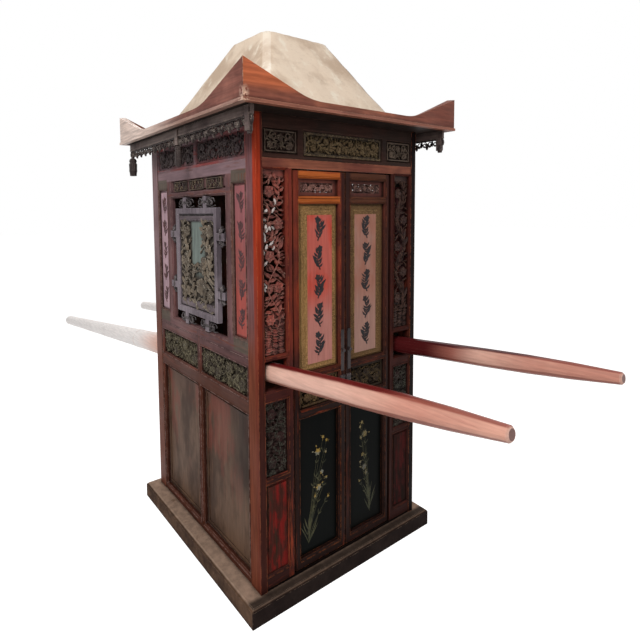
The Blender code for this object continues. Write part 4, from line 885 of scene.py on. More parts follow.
# Waist panels: a shallow carved board of foliage between the black lacquer and each tall board, in a
# raised rim, its gilding mostly worn away.
WAIST_COLOURS = {
    # leaf: body, patches, worn and lit edges; the right leaf's are painted darker as shade
    "left": ((84, 64, 44), (62, 46, 36), (156, 128, 86)),
    "right": ((42, 33, 26), (34, 27, 22), (116, 96, 66)),
}

for side, sign in SIDES:
    waist = bmesh.new()
    opening = signed(sign, DOOR_OPENING_ACROSS)
    surround(waist, opening, WAIST_UP, 0.010, -0.0002, 0.0055, 0.002)
    winding_foliage(waist, Random(61 + sign), (opening[0] + 0.010, opening[1] - 0.010),
                    (WAIST_UP[0] + 0.010, WAIST_UP[1] - 0.010), 0.0, 0.0085, 0.020, 0.5, waves=3,
                    packing=0.45, tries=1500, stem_radius=0.0018)
    carving("waist_foliage_" + side, waist, "front", DOOR_BOARD_FACE, carved(
        "waist_foliage_" + side, *WAIST_COLOURS[side], 0.010, gloss=0.06), "door_" + side)


# Tall door boards: a raised field, red above and faded below, in a broad border of gold-flecked
# lacquer. Five dark sprays of leaves stand on it one over another, laid on thinly.
TALL_FIELD_FACE = 0.3799
TALL_FIELD_UP = (0.757, 1.229)
SPRIG_COUNT = 5
SPRIG_STEPS = 8
TALL_BOARD_COLOURS = {
    # leaf: border, its patches, its flecks, field, faded field, and how much of the field is faded; the right
    # leaf's border and flecks are painted darker as shade
    "left": ((134, 100, 62), (104, 78, 50), (192, 150, 96), (186, 74, 60), (178, 126, 116), 0.30),
    "right": ((98, 73, 47), (84, 62, 42), (140, 108, 72), (158, 108, 92), (164, 128, 116), 0.6),
}


def tall_field(tree):
    inside = field_between(tree, "X", (0.0526, 0.1585), (0.745, 1.2285), 0.0006)
    return times(tree, inside, ramp(tree, "Y", -0.3786, -0.3792))


def gilt_flecks(tree):
    return spread(tree, cloud(tree, place_on(tree), 420.0, 2.0, 0.7), 0.50, 0.60)


def field_wear(tree):
    patches = cloud(tree, place_on(tree, (1, 1, 0.5)), 9.0, 4.0, 0.6)
    return times(tree, tall_field(tree), spread(tree, patches, 0.44, 0.60))


def field_foot(tree):
    return times(tree, tall_field(tree), ramp(tree, "Z", 1.02, 0.86))


def spray(shape, draw, path, radii, length, lengths, turns, widths, high, flower, turn, taper=0.0):
    """A stem with a leaf on either side at each point of its path, and a flower at its tip. Leaves get
    shorter by taper away from the middle of the path."""
    stem(shape, path, radii)
    for i in range(1, len(path) - 1):
        for way in (-1, 1):
            size = length * (1 - taper * abs(i - 3.5 - 0.8 * way) / 5) * draw.uniform(*lengths)
            leaf(shape, *path[i][:2], pi / 2 - way * draw.uniform(*turns), size, size * draw.uniform(*widths),
                 -0.0002, high, 0.6 * way)
    blossom(shape, *path[-1][:2], flower, 5, -0.0002, high + 0.0002, turn, 1.4)


for side, sign in SIDES:
    border, border_patch, flecks, red, faded, wear = TALL_BOARD_COLOURS[side]
    dress("door_tall_panel_" + side, timber(
        "gilt_board_" + side, border, border_patch, (200, 168, 112), grain_depth=0.16, rub=0.7, reach=0.008,
        grime_and_shade=0.45, gloss=0.06, late_bands=((board_back, (74, 46, 36), 1.0),),
        bands=((gilt_flecks, flecks, 0.8), (tall_field, red, 1.0), (field_wear, faded, wear),
               (field_foot, faded, 0.8))))
    draw = door_draws[side]
    sprigs = bmesh.new()
    pitch = (TALL_FIELD_UP[1] - TALL_FIELD_UP[0]) / SPRIG_COUNT
    for number in range(SPRIG_COUNT):
        foot, height = TALL_FIELD_UP[0] + (number + 0.12) * pitch, 0.72 * pitch
        bow = 0.010 * (1 if number % 2 else -1) * sign
        path = [(sign * DOOR_MIDDLE + bow * sin(pi * i / SPRIG_STEPS) - bow / 2,
                 foot + height * i / SPRIG_STEPS, 0.0003) for i in range(SPRIG_STEPS + 1)]
        spray(sprigs, draw, path, [0.0022 - 0.0010 * i / SPRIG_STEPS for i in range(SPRIG_STEPS + 1)], 0.030,
              (0.70, 1.15), (0.75, 1.35), (0.28, 0.42), 0.0010, 0.0125, number, 0.40)
    carving("tall_board_sprigs_" + side, sprigs, "front", TALL_FIELD_FACE, timber(
        "ink_lacquer_" + side, (34, 36, 40), (48, 40, 40), (84, 64, 60), reach=0.002, grime_and_shade=0.2,
        grain_depth=0.15, patch_scale=40.0), "door_" + side)


# Door heads: a small board over each tall board, cut through as tendrils and small leaves between
# plain margins, and let into the leaf from behind.
DOOR_BOARD_ACROSS = (0.0188, 0.2004)
HEAD_BOARD_UP = (1.2766, 1.3530)
PIERCED_ACROSS = (0.044, 0.181)
PIERCED_UP = (1.3010, 1.3315)
HEAD_SCROLLS = 4


def grille(tree):
    return field_between(tree, "X", PIERCED_ACROSS, PIERCED_UP, 0.001)


for side, sign in SIDES:
    head = bmesh.new()
    across, pierced = signed(sign, DOOR_BOARD_ACROSS), signed(sign, PIERCED_ACROSS)
    for margin_across, margin_up in (((across[0], pierced[0]), HEAD_BOARD_UP),
                                     ((pierced[1], across[1]), HEAD_BOARD_UP),
                                     (pierced, (HEAD_BOARD_UP[0], PIERCED_UP[0])),
                                     (pierced, (PIERCED_UP[1], HEAD_BOARD_UP[1]))):
        plate(head, margin_across, margin_up, -0.0065, 0.0)
    for column in range(HEAD_SCROLLS):
        u = pierced[0] + (column + 0.5) * (pierced[1] - pierced[0]) / HEAD_SCROLLS
        for row in (-1, 1):
            scroll(head, u + row * 0.005, sum(PIERCED_UP) / 2 + row * 0.0058, 0.0082,
                   pi / 2 * row, 1.3 * (1 if column % 2 else -1), -0.006, 0.0015, 0.0030)
    winding_foliage(head, Random(51 + sign), pierced, PIERCED_UP, -0.006, 0.0015, 0.012, 0.42, waves=6,
                    blossoms=False, packing=0.6, stem_radius=0.0014, tries=900)
    # The right leaf's grille is painted darker as shade.
    carving("door_scrolls_" + side, head, "front", DOOR_BOARD_FACE, carved(
        "door_scrolls_" + side, (112, 56, 44), (84, 46, 40), (164, 122, 108), 0.008, 0.8, rub=0.95,
        bands=((grille, (150, 108, 100) if side == "left" else (110, 84, 78), 0.9),)),
        "door_" + side, instead_of=("door_carving_" + side,))


# Door irons: on each meeting stile a long iron pull, and under it a small latch plate with a leaf
# raised on it, held by two flower-headed nails.
LATCH_ACROSS = (0.0030, 0.0250)
LATCH_UP = (0.6600, 0.6840)

door_iron = timber("door_iron", (50, 40, 40), (34, 29, 30), (120, 104, 104), rough=(0.35, 0.55),
                   grain_depth=0.2, gloss=0.25)
for side, sign in SIDES:
    dress("door_pull_" + side, door_iron)
    latch = bmesh.new()
    plate(latch, signed(sign, LATCH_ACROSS), LATCH_UP, 0.0, 0.0035, 0.001)
    leaf(latch, sign * 0.0035, LATCH_UP[1] - 0.006, 0.0 if sign > 0 else pi, 0.020, 0.010, 0.0030, 0.0065)
    for height in (LATCH_UP[0] + 0.004, LATCH_UP[1] - 0.004):
        blossom(latch, sign * 0.0205, height, 0.0026, 6, 0.0030, 0.0050)
    carving("door_latch_" + side, latch, "front", DOOR_FACE, door_iron, "door_" + side)


# Side walls: dull mauve-brown frames with a muntin in the middle, round brown panels below, a carved
# olive band at the belt and a carved frieze at the head. Fine beads run round the openings.
SIDE_FACE = 0.358
SIDE_BOARD_FACE = 0.3417
HALVES = ((-0.3245, -0.0135), (0.0135, 0.3245))
LOWER_PANEL_UP = (0.086, 0.607)
BAND_UP = (0.6625, 0.7565)
BAND_PLATE_UP = (0.6345, 0.7670)
BAND_PLATE_REACH = 0.3312
WINDOW_ACROSS = 0.209
WINDOW_UP = (0.826, 1.297)
STRIP_OPENING = (0.252, 0.3255)
STRIP_OPENING_UP = (0.846, 1.330)
TOP_FRIEZE_UP = (1.4145, 1.4875)
SIDE_RAILS = rails("Z", ((0.0, 0.086), (0.607, 0.662), (0.757, 0.826), (1.297, 1.321), (1.359, 1.414)), "Y",
                   (0.0135, 0.3325))


def strip_ends(tree):
    """The short boards over and under the red strips."""
    ends = calculate(tree, "MAXIMUM", band(tree, "Z", 1.332, 1.372), band(tree, "Z", 0.800, 0.843))
    return times(tree, ends, band(tree, "Y", 0.248, 0.336, mirrored=True))


def head_rail(tree):
    return band(tree, "Z", 1.363, 1.416)


def strip_surround(tree):
    """The darker margins beside the red strips."""
    return field_between(tree, "Y", (0.2445, 0.3345), (0.843, 1.333), 0.001)


def belt_line(tree):
    return band(tree, "Z", 0.7865, 0.7935, 0.001)


def panel_front(tree):
    return times(tree, ramp(tree, "Y", -0.13, -0.29), ramp(tree, "Z", 0.24, 0.42))


def panel_head(tree):
    ragged = calculate(tree, "ADD", measure(tree, "Z"), times(tree, cloud(tree, place_on(tree), 12.0), 0.10))
    return spread(tree, ragged, 0.52, 0.66)


def red_wear(tree):
    """Older red lacquer that shows through in long patches on the upper half."""
    worn = spread(tree, cloud(tree, place_on(tree, (1, 1, 0.35)), 13.0, 4.0, 0.6), 0.50, 0.62)
    return times(tree, worn, ramp(tree, "Z", 0.16, 0.46))


side_lacquer = timber("side_lacquer", (114, 80, 79), (90, 64, 65), (164, 134, 126), foot=(76, 40, 27),
                      foot_span=(0.84, 0.62), streaks=(112, 62, 48), railed=SIDE_RAILS, rail_along="y",
                      rub_width=0.0026, grain_depth=0.26, gloss=0.09,
                      bands=((head_rail, (136, 112, 117), 0.7), (strip_surround, (90, 66, 58), 0.85),
                             (strip_ends, (86, 76, 65), 0.9), (belt_line, (60, 40, 40), 0.6)))
frieze_beam = timber("side_frieze_lacquer", (116, 92, 96), (128, 72, 72), (160, 130, 124), "y",
                     streaks=(142, 62, 60), streak_span=(0.54, 0.66))
side_panel = timber("side_panel", (100, 75, 58), (68, 49, 38), (128, 98, 80), streaks=(112, 80, 61),
                    streak_span=(0.58, 0.74), rough=(0.40, 0.55), gloss=0.07, grain_depth=0.20,
                    patch_scale=7.0, patch_stretch=(1, 1, 0.5), patch_span=(0.42, 0.60),
                    bands=((panel_head, (76, 48, 38), 0.6), (red_wear, (122, 56, 44), 0.5),
                           (panel_front, (43, 29, 22), 0.88)))
band_finish = carved("band_carving", (84, 76, 60), (60, 52, 44), (156, 146, 118), 0.010, rub=0.9)
top_frieze_finish = carved("top_frieze_carving", (82, 70, 70), (66, 54, 56), (134, 118, 112), 0.010)
for side, sign in SIDES:
    dress("side_lower_frame_" + side, side_lacquer)
    dress("side_upper_frame_" + side, side_lacquer)
    dress("side_frieze_" + side, frieze_beam)
    dress("side_lower_panel_" + side, side_panel)

    belt, frieze, beads = bmesh.new(), bmesh.new(), bmesh.new()
    plate(belt, (-BAND_PLATE_REACH, BAND_PLATE_REACH), BAND_PLATE_UP, -0.0058, -0.002)
    for number, half in enumerate(HALVES):
        winding_foliage(belt, Random(80 + number + 2 * sign), half, BAND_UP, -0.002, 0.012, 0.024, 0.5,
                        waves=4, packing=0.42, tries=1800)
        winding_foliage(frieze, Random(90 + number + 2 * sign), (half[0] + 0.004, half[1] - 0.004),
                        (TOP_FRIEZE_UP[0] + 0.003, TOP_FRIEZE_UP[1] - 0.003), -0.0078, -0.001, 0.022, 0.42,
                        waves=4, packing=0.5, tries=1200)
        bead(beads, half, LOWER_PANEL_UP)
        bead(beads, half, BAND_UP)
    bead(beads, (-WINDOW_ACROSS, WINDOW_ACROSS), WINDOW_UP)
    for way in (-1, 1):
        bead(beads, signed(way, STRIP_OPENING), STRIP_OPENING_UP, 0.0048, 0.0024)
    carving("belt_foliage_" + side, belt, side, SIDE_BOARD_FACE, band_finish,
            instead_of=("side_band_" + side,))
    carving("frieze_foliage_" + side, frieze, side, SIDE_FACE, top_frieze_finish)
    carving("side_beads_" + side, beads, side, SIDE_FACE, side_lacquer)


# Red strips: a tall narrow board on either side of each window, in red lacquer that has faded to
# mauve towards the rear, with five small dark sprays laid on it one over another.
STRIP_UP = (0.860, 1.316)
STRIP_MIDDLE = 0.2924
STRIP_FACE = 0.351
STRIP_SPRIG_STEPS = 6


def strip_head(tree):
    return ramp(tree, "Z", 1.06, 1.24)


strip_finishes = {
    "front": timber("strip_lacquer_front", (164, 76, 67), (138, 80, 76), (190, 136, 122), patch_scale=7.0,
                    grain_depth=0.2, bands=((strip_head, (146, 92, 96), 0.8),)),
    "rear": timber("strip_lacquer_rear", (184, 152, 159), (168, 140, 148), (196, 150, 150), patch_scale=7.0,
                   grain_depth=0.2),
}
strip_ink = timber("strip_ink", (72, 50, 52), (92, 60, 60), (110, 80, 78), reach=0.002, grime_and_shade=0.2,
                   patch_scale=40.0)
for side, sign in SIDES:
    for end, way in (("front", -1), ("rear", 1)):
        dress(f"side_strip_{end}_{side}", strip_finishes[end])
        draw = Random(100 + way + 2 * sign)
        sprigs = bmesh.new()
        pitch = (STRIP_UP[1] - STRIP_UP[0]) / SPRIG_COUNT
        for number in range(SPRIG_COUNT):
            foot, height = STRIP_UP[0] + (number + 0.16) * pitch, 0.62 * pitch
            path = [(way * STRIP_MIDDLE + 0.004 * sin(i + number), foot + height * i / STRIP_SPRIG_STEPS,
                     0.0003) for i in range(STRIP_SPRIG_STEPS + 1)]
            spray(sprigs, draw, path, [0.0019] * len(path), 0.0255, (0.72, 1.1), (0.8, 1.4), (0.28, 0.40),
                  0.0009, 0.0095, number)
        carving(f"strip_sprigs_{end}_{side}", sprigs, side, STRIP_FACE, strip_ink)


# Window sashes: a worn grey frame that stands free in each window's opening. The carved board in it has
# a grey-green ground gone dark round its edges, moulded rails, and foliage from both sides and the foot.
SASH_FACE = 0.364
SASH_FIELD = ((-0.1357, 0.1357), (0.8903, 1.2347))
SASH_RIM = 0.006


def pale_sky(tree):
    """The middle of the ground keeps its grey-green, and the rest has gone dark."""
    return times(tree, band(tree, "Y", -0.01, 0.048, 0.012, mirrored=True), band(tree, "Z", 1.02, 1.22, 0.02))


sash_grey = timber("sash_grey", (132, 120, 126), (106, 95, 101), (200, 190, 194), rub=0.95)
sash_ground = timber("sash_ground", (66, 58, 50), (52, 46, 41), (140, 132, 118), rough=(0.5, 0.7),
                     reach=0.010, bands=((pale_sky, (118, 128, 122), 0.95),))
sash_relief = carved("sash_relief", (122, 108, 92), (86, 76, 66), (190, 180, 164), patch_scale=14.0)
sash_rail = timber("sash_rail", (112, 98, 102), (88, 76, 80), (178, 168, 170), "y", rub=0.95)
for side, sign in SIDES:
    dress("sash_frame_" + side, sash_grey)

    (left, right), (foot, head) = SASH_FIELD
    third = (right - left) / 3
    ground = bmesh.new()
    plate(ground, *SASH_FIELD, -0.018, -0.0125)
    plate(ground, (-third / 2, third / 2), (foot, head), -0.0128, -0.0115, 0.001)
    surround(ground, *SASH_FIELD, SASH_RIM, -0.0128, -0.0100, 0.001)
    carving("sash_ground_" + side, ground, side, SASH_FACE, sash_ground,
            instead_of=("sash_carving_" + side,))

    sash_rails = bmesh.new()
    for low, high, face in ((head - 0.021, head - 0.004, -0.004), (head - 0.026, head - 0.019, -0.007),
                            (foot + 0.003, foot + 0.026, -0.006), (foot + 0.024, foot + 0.031, -0.008)):
        plate(sash_rails, (left + 0.003, right - 0.003), (low, high), -0.0126, face, 0.0015)
    carving("sash_rails_" + side, sash_rails, side, SASH_FACE, sash_rail)

    left, right, foot, head = left + SASH_RIM, right - SASH_RIM, foot + SASH_RIM, head - SASH_RIM
    reliefs = bmesh.new()
    for number, (across, up) in enumerate((((left, left + 0.105), (foot, head)),
                                           ((right - 0.085, right), (foot, head)),
                                           ((left + 0.06, right - 0.06), (foot, foot + 0.16)))):
        winding_foliage(reliefs, Random(110 + number + 5 * sign), across, up, -0.0125, -0.001, 0.034, 0.46,
                        packing=0.62, tries=900, stem_radius=0.0030, lean=0.8)
    carving("sash_foliage_" + side, reliefs, side, SASH_FACE, sash_relief)


# Sash scrolls: carved on the small blocks that hold each sash in its window, two on every side of it.
# Each is a pair of scrolls with fans of leaves, and those over and under the sash end in tendrils.
SASH_ACROSS = 0.158
SASH_UP = (0.868, 1.257)
SCROLL_REACH = 0.0165


def scroll_pair(shape, u, v, upright):
    """Two scrolls side by side, or one over the other when upright is one, with a leaf between them."""
    for part in (-1, 1):
        offset = SCROLL_REACH * part
        place = (u, v + offset) if upright else (u + offset, v)
        scroll(shape, *place, SCROLL_REACH, pi / 2 * part + upright * pi / 2, 1.4 * part, -0.012, 0.0035,
               0.0062)
        for fan in (-0.7, 0.0, 0.7):
            turn = (pi / 2 if upright else 0.0) + (0 if part > 0 else pi) + fan
            leaf(shape, u + offset * 0.9 * (1 - upright), v + offset * 0.9 * upright, turn, 0.020, 0.0085,
                 -0.010, 0.001, 0.5 * fan)
    leaf(shape, u - 0.014 * (1 - upright), v - 0.014 * upright, upright * pi / 2, 0.028, 0.015, -0.002,
         0.0045)


def tendrils(shape, u, v):
    """A tendril run out to each side."""
    for part in (-1, 1):
        scroll(shape, u + part * 0.042, v, 0.0150, pi / 2 - part * pi / 2, 1.3 * part, -0.010, 0.001, 0.0052)
        stem(shape, [(u + part * 0.018, v - 0.012, -0.006), (u + part * 0.042, v - 0.0165, -0.006),
                     (u + part * 0.064, v - 0.012, -0.006)], [0.0024, 0.0022, 0.0014])


scroll_grey = carved("scroll_grey", (78, 71, 70), (56, 50, 51), (156, 146, 146), rub=0.95)
for side, _ in SIDES:
    blocks = bmesh.new()
    for way in (-1, 1):
        for end in (1, 0):
            place = (way * SASH_ACROSS / 2, (SASH_UP[end] + WINDOW_UP[end]) / 2)
            scroll_pair(blocks, *place, 0)
            tendrils(blocks, *place)
        for share in (0.25, 0.75):
            scroll_pair(blocks, way * (SASH_ACROSS + WINDOW_ACROSS) / 2,
                        SASH_UP[0] + share * (SASH_UP[1] - SASH_UP[0]), 1)
    carving("sash_scrolls_" + side, blocks, side, SASH_FACE - 0.002, scroll_grey)


# Fret scrolls: over each window, three short lengths of small scrolls in fine rims, gilded once. They
# are let into the upper frame between the window's head and the frieze.
FRET_UP = (1.322, 1.358)
FRET_PITCH = 0.130

fret_gilt = carved("fret_scrolls", (104, 88, 76), (76, 66, 62), (156, 134, 100), 0.008, 0.85)
for side, _ in SIDES:
    frets = bmesh.new()
    for middle in (-FRET_PITCH, 0.0, FRET_PITCH):
        surround(frets, (middle - 0.052, middle + 0.052), FRET_UP, 0.0035, -0.0078, -0.0015, 0.0008)
        for part in (-1, 0, 1):
            for row in (-1, 1):
                scroll(frets, middle + part * 0.030 + row * 0.006, sum(FRET_UP) / 2 + row * 0.0072, 0.0098,
                       pi * row / 2, 1.3 * (1 if part else -1), -0.0078, -0.001, 0.0036)
    carving("fret_scrolls_" + side, frets, side, SIDE_FACE, fret_gilt)


# Back wall and bench: a plain brown lacquered frame, thin boards behind it, and the seat inside. The
# thin boards have the side panels' finish.
dress("back_frame", timber("back_lacquer", (98, 62, 54), (78, 52, 48), (148, 108, 88), foot=(70, 40, 36),
                           streaks=(124, 66, 50)))
dress("back_panel", side_panel)
dress("seat_bench", timber("seat_bench", (104, 64, 46), (84, 52, 40), (150, 110, 84), "x"))


# Roof boards: a dark deck, and four upswept eave boards mitred at the corners, with a worn lip along
# the foot. The lacquer is brown along the sides and bleached behind, with painted orange light on the
# near corner's horn, and the front board is painted darker towards the right as shade.
EAVE_FOOT = 1.530
EAVE_LIP_TOP = 1.5392


def eave_lip(tree):
    return band(tree, "Z", EAVE_FOOT - 0.01, EAVE_LIP_TOP, 0.0008)


# Painted orange light on the near corner's upswept horn.
def near_horn_light(tree):
    return times(tree, ramp(tree, "X", -0.16, -0.36), ramp(tree, "Z", 1.556, 1.590))


# Painted shade, darker towards the right of the front board.
def far_front_shade(tree):
    return ramp(tree, "X", 0.06, 0.34)


def bleached_end(tree):
    return ramp(tree, "Y", -0.16, 0.30)


def chipped_corner(tree):
    """Bare wood where the near corner's foot has been knocked."""
    near = times(tree, ramp(tree, "X", -0.436, -0.455), ramp(tree, "Y", -0.462, -0.482))
    low = times(tree, near, ramp(tree, "Z", 1.580, 1.545))
    return times(tree, low, spread(tree, cloud(tree, place_on(tree), 120.0, 3.0, 0.6), 0.44, 0.52))


def dark_foot(tree):
    """Smoke along the board's foot, in ragged clouds."""
    ragged = calculate(tree, "ADD", measure(tree, "Z"),
                       times(tree, cloud(tree, place_on(tree), 26.0, 4.0), 0.020))
    return spread(tree, ragged, 1.563, 1.549)


EAVES = {
    # board: body, patches, worn and lit edges, lip, grain, colours under the scuffs, colours over them
    "front": ((150, 88, 66), (122, 70, 56), (214, 164, 130), (156, 100, 82), "x",
              ((near_horn_light, (187, 99, 62), 0.85), (far_front_shade, (120, 64, 50), 0.7),
               (dark_foot, (92, 48, 38), 0.6)),
              ((chipped_corner, (226, 186, 160), 0.9),)),
    "rear": ((140, 86, 70), (120, 76, 64), (200, 160, 136), (160, 116, 100), "x", (), ()),
    "left": ((136, 84, 70), (112, 66, 56), (226, 190, 168), (166, 132, 118), "y",
             ((dark_foot, (104, 62, 52), 0.4),),
             ((bleached_end, (236, 212, 198), 0.9), (chipped_corner, (220, 184, 164), 0.8))),
    "right": ((132, 84, 72), (112, 66, 58), (200, 160, 136), (150, 112, 98), "y", (), ()),
}

dress("roof_deck", timber("roof_deck", (44, 34, 30), (34, 27, 24), (74, 60, 52), "x", gloss=0.04))
for name, (body, patch, rubbed, lip, along, under, over) in EAVES.items():
    dress("eave_" + name, timber("eave_lacquer_" + name, body, patch, rubbed, along, (0.35, 0.55),
                                 patch_scale=7.0, streaks=(92, 48, 40),
                                 bands=under + ((eave_lip, lip, 0.75),), late_bands=over))


# Roof cover: beige canvas drawn tight over a frame of laths and sewn at the hips, where a doubled
# strip runs up each corner. It sags a little between the laths, and is stained by damp and smoke. The
# front right hip strip is painted dark as shade.
COVER_FOOT = 1.5486
COVER_TOP = 1.8850
FOOT_CORNERS = ((-0.309, -0.371), (0.309, -0.371), (0.309, 0.464), (-0.309, 0.464))
TOP_CORNERS = ((-0.127, -0.123), (0.171, -0.123), (0.171, 0.100), (-0.143, 0.100))
HIP_STRIP = 0.020
# Slots of the hip strips; the front right strip's finish is painted shade.
HIP_SLOTS = {0: 1, 2: 2, 4: 1, 6: 1}
CLOTH_THICKNESS = 0.0016
SLOPE_ROWS = 26
SIDE_STEPS = 22
STRIP_STEPS = 4
CAP_RINGS = 8
SLOPE_SAG = 0.0065
CROWN = 0.0036
HEM = 0.0016
SEAM = 0.0018


def cut_corners(corners, cut):
    """A rectangle's outline with each corner cut off: pairs of points, one pair at each corner."""
    points = []
    for i, corner in enumerate(corners):
        here = Vector(corner)
        back, ahead = Vector(corners[i - 1]), Vector(corners[(i + 1) % 4])
        points += [here + (back - here).normalized() * cut, here + (ahead - here).normalized() * cut]
    return points


def cover_ring(share):
    """Points round the cover at a share of its slope, each with what it belongs to and its place there."""
    foot, top = cut_corners(FOOT_CORNERS, HIP_STRIP), cut_corners(TOP_CORNERS, HIP_STRIP)
    points = []
    for i in range(8):
        steps = STRIP_STEPS if i % 2 == 0 else SIDE_STEPS
        j = (i + 1) % 8
        for k in range(steps):
            low = foot[i].lerp(foot[j], k / steps)
            high = top[i].lerp(top[j], k / steps)
            points.append((low.lerp(high, share), i, k / steps))
    return points


def canvas_cloth(name, body, stain, pale):
    """Plain-woven cotton canvas, smudged in clouds and darkened in its folds by stains and painted shade,
    with its threads in fine relief.
    """
    material = bpy.data.materials.new(name)
    material.use_nodes = True
    tree = material.node_tree
    shader = tree.nodes["Principled BSDF"]
    shader.inputs["Sheen Weight"].default_value = 0.12
    shader.inputs["Roughness"].default_value = 0.92
    body, stain, pale = colour(*body), colour(*stain), colour(*pale)
    place = place_on(tree)
    clouds = spread(tree, cloud(tree, place, 6.5, 5.0, 0.6), 0.42, 0.66)
    bleaching = spread(tree, cloud(tree, place_on(tree, (1.7, 1.7, 0.8)), 11.0, 5.0, 0.65), 0.50, 0.70)
    specks = spread(tree, cloud(tree, place, 90.0, 3.0, 0.6), 0.52, 0.74)
    tone = blend_colours(tree, clouds, body, stain)
    tone = blend_colours(tree, bleaching, tone, pale)
    tone = blend_colours(tree, times(tree, specks, 0.30), tone, stain)
    # Folds darken with stains and painted shade.
    tone = blend_colours(tree, times(tree, hollow_grime_and_shade(tree, 0.03), 0.5), tone, stain)
    tree.links.new(tone, shader.inputs["Base Color"])
    threads = [add_node(tree, "TexWave", {"Vector": place, "Scale": 210.0, "Distortion": 1.2, "Detail": 1.0},
                        bands_direction=way).outputs["Fac"] for way in ("Z", "DIAGONAL")]
    weave = calculate(tree, "ADD", *threads)
    relief = add_node(tree, "Bump", {"Strength": 0.25, "Distance": 0.0006, "Height": weave})
    tree.links.new(relief.outputs[0], shader.inputs["Normal"])
    return material


cover = bmesh.new()
rings = []
for row in range(SLOPE_ROWS + 1):
    share = row / SLOPE_ROWS
    height = COVER_FOOT + share * (COVER_TOP - COVER_FOOT)
    ring = []
    for point, part, along in cover_ring(share):
        outward = Vector((point.x, point.y, 0.35)).normalized()
        sag = SLOPE_SAG * sin(pi * share) * sin(pi * along) if part % 2 == 1 else 0.0
        folds = noise.noise(Vector((point.x * 11, point.y * 11, height * 3.5))) * 0.0042
        folds *= sin(pi * min(1, share * 1.1))
        creases = noise.noise(Vector((point.x * 34, point.y * 34, height * 22))) * 0.0012
        hem = HEM if row == 1 else 0.0
        seam = -SEAM if along == 0 and share > 0 else 0.0
        place = Vector((point.x, point.y, height)) + outward * (folds + creases + hem + seam - sag)
        place.z = max(place.z, COVER_FOOT)
        ring.append(cover.verts.new(place))
    rings.append(ring)
middle = Vector((sum(c[0] for c in TOP_CORNERS) / 4, sum(c[1] for c in TOP_CORNERS) / 4))
for cap in range(1, CAP_RINGS):
    share = 1 - cap / CAP_RINGS
    ring = []
    for point, _, _ in cover_ring(1.0):
        flat = middle.lerp(point, share)
        ripple = noise.noise(Vector((flat.x * 16, flat.y * 16, 3.0))) * 0.003
        height = COVER_TOP + CROWN * (1 - share * share) + ripple * (1 - share)
        ring.append(cover.verts.new((flat.x, flat.y, height)))
    rings.append(ring)
parts = [part for _, part, _ in cover_ring(0.0)]
for row, (ring, following) in enumerate(zip(rings, rings[1:])):
    for i, vert in enumerate(ring):
        j = (i + 1) % len(ring)
        face = cover.faces.new((vert, ring[j], following[j], following[i]))
        face.smooth = True
        face.material_index = HIP_SLOTS.get(parts[i], 0) if row < SLOPE_ROWS else 0
peak = cover.verts.new((middle.x, middle.y, COVER_TOP + CROWN))
for i, vert in enumerate(rings[-1]):
    cover.faces.new((vert, rings[-1][(i + 1) % len(rings[-1])], peak)).smooth = True
canvas = piece_from("canvas_cover", cover,
                    canvas_cloth("cover_canvas", (224, 203, 180), (190, 165, 141), (232, 218, 198)),
                    canvas_cloth("cover_strip", (234, 219, 200), (206, 184, 162), (240, 229, 214)),
                    canvas_cloth("shaded_hip_strip", (120, 96, 80), (96, 74, 62), (168, 140, 120)))
thickness = canvas.modifiers.new("cloth", "SOLIDIFY")
thickness.thickness = CLOTH_THICKNESS
thickness.offset = -1.0
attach(canvas, "cabin")
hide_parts("roof_canvas")


# Laths: squared sticks under the cloth that keep its form. A ring lies on the deck, a smaller one
# is held at the top, and one stick rises to it at each hip.
LATH = 0.009
LATH_INSET = CLOTH_THICKNESS + SLOPE_SAG + 2.2 * LATH


def lath(shape, start, end):
    """A squared lath between two points."""
    way = (end - start).normalized()
    aside = way.orthogonal().normalized()
    other = way.cross(aside)
    loft(shape, [[point + (aside * a + other * b) * LATH / 2 for a, b in ((-1, -1), (1, -1), (1, 1), (-1, 1))]
                 for point in (start, end)])


def under_cloth(corners, height):
    """The corners of a ring of laths, set in from the corners of the cloth."""
    return [Vector((x - LATH_INSET * (1 if x > 0 else -1), y - LATH_INSET * (1 if y > 0 else -1), height))
            for x, y in corners]


laths = bmesh.new()
feet = under_cloth(FOOT_CORNERS, COVER_FOOT + LATH / 2)
tops = under_cloth(TOP_CORNERS, COVER_TOP - LATH_INSET)
for i in range(4):
    lath(laths, feet[i], tops[i])
    lath(laths, tops[i], tops[(i + 1) % 4])
    lath(laths, feet[i], feet[(i + 1) % 4])
lath_frame = piece_from("canvas_laths", laths,
                        timber("lath_wood", (150, 112, 80), (120, 90, 66), (180, 146, 112)))
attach(lath_frame, "cabin")


# Valances: a plain grey-brown board under each side eave, with carved lace along its foot, a stile
# at its front end and one in the middle, and turned drops hung from them and from the rear end.
VALANCE_FACE = 0.4255
VALANCE_ACROSS = (-0.4685, 0.4685)
VALANCE_TOP = 1.5295
VALANCE_BOARD_FOOT = 1.5035
VALANCE_DEPTH = 0.0115
LACE_PITCHES = 20
LACE_TOP = 1.5030
STILE_HALF = 0.011
STILES = ((-0.4525, 1.459), (0.0, 1.474))
DROPS = (
    # place along the eave, top, foot, half width
    (0.0, 1.4985, 1.402, 0.0155),
    (0.452, 1.4985, 1.399, 0.0205),
    (-0.455, 1.4900, 1.452, 0.0100),
)
DROP_PROFILE = ((0.0, 0.30), (0.04, 0.48), (0.09, 0.30), (0.24, 0.28), (0.29, 0.72), (0.37, 0.95),
                (0.45, 0.80), (0.51, 1.00), (0.74, 0.95), (0.79, 1.00), (0.86, 0.88), (1.0, 0.80))
DROP_SIDES = 10


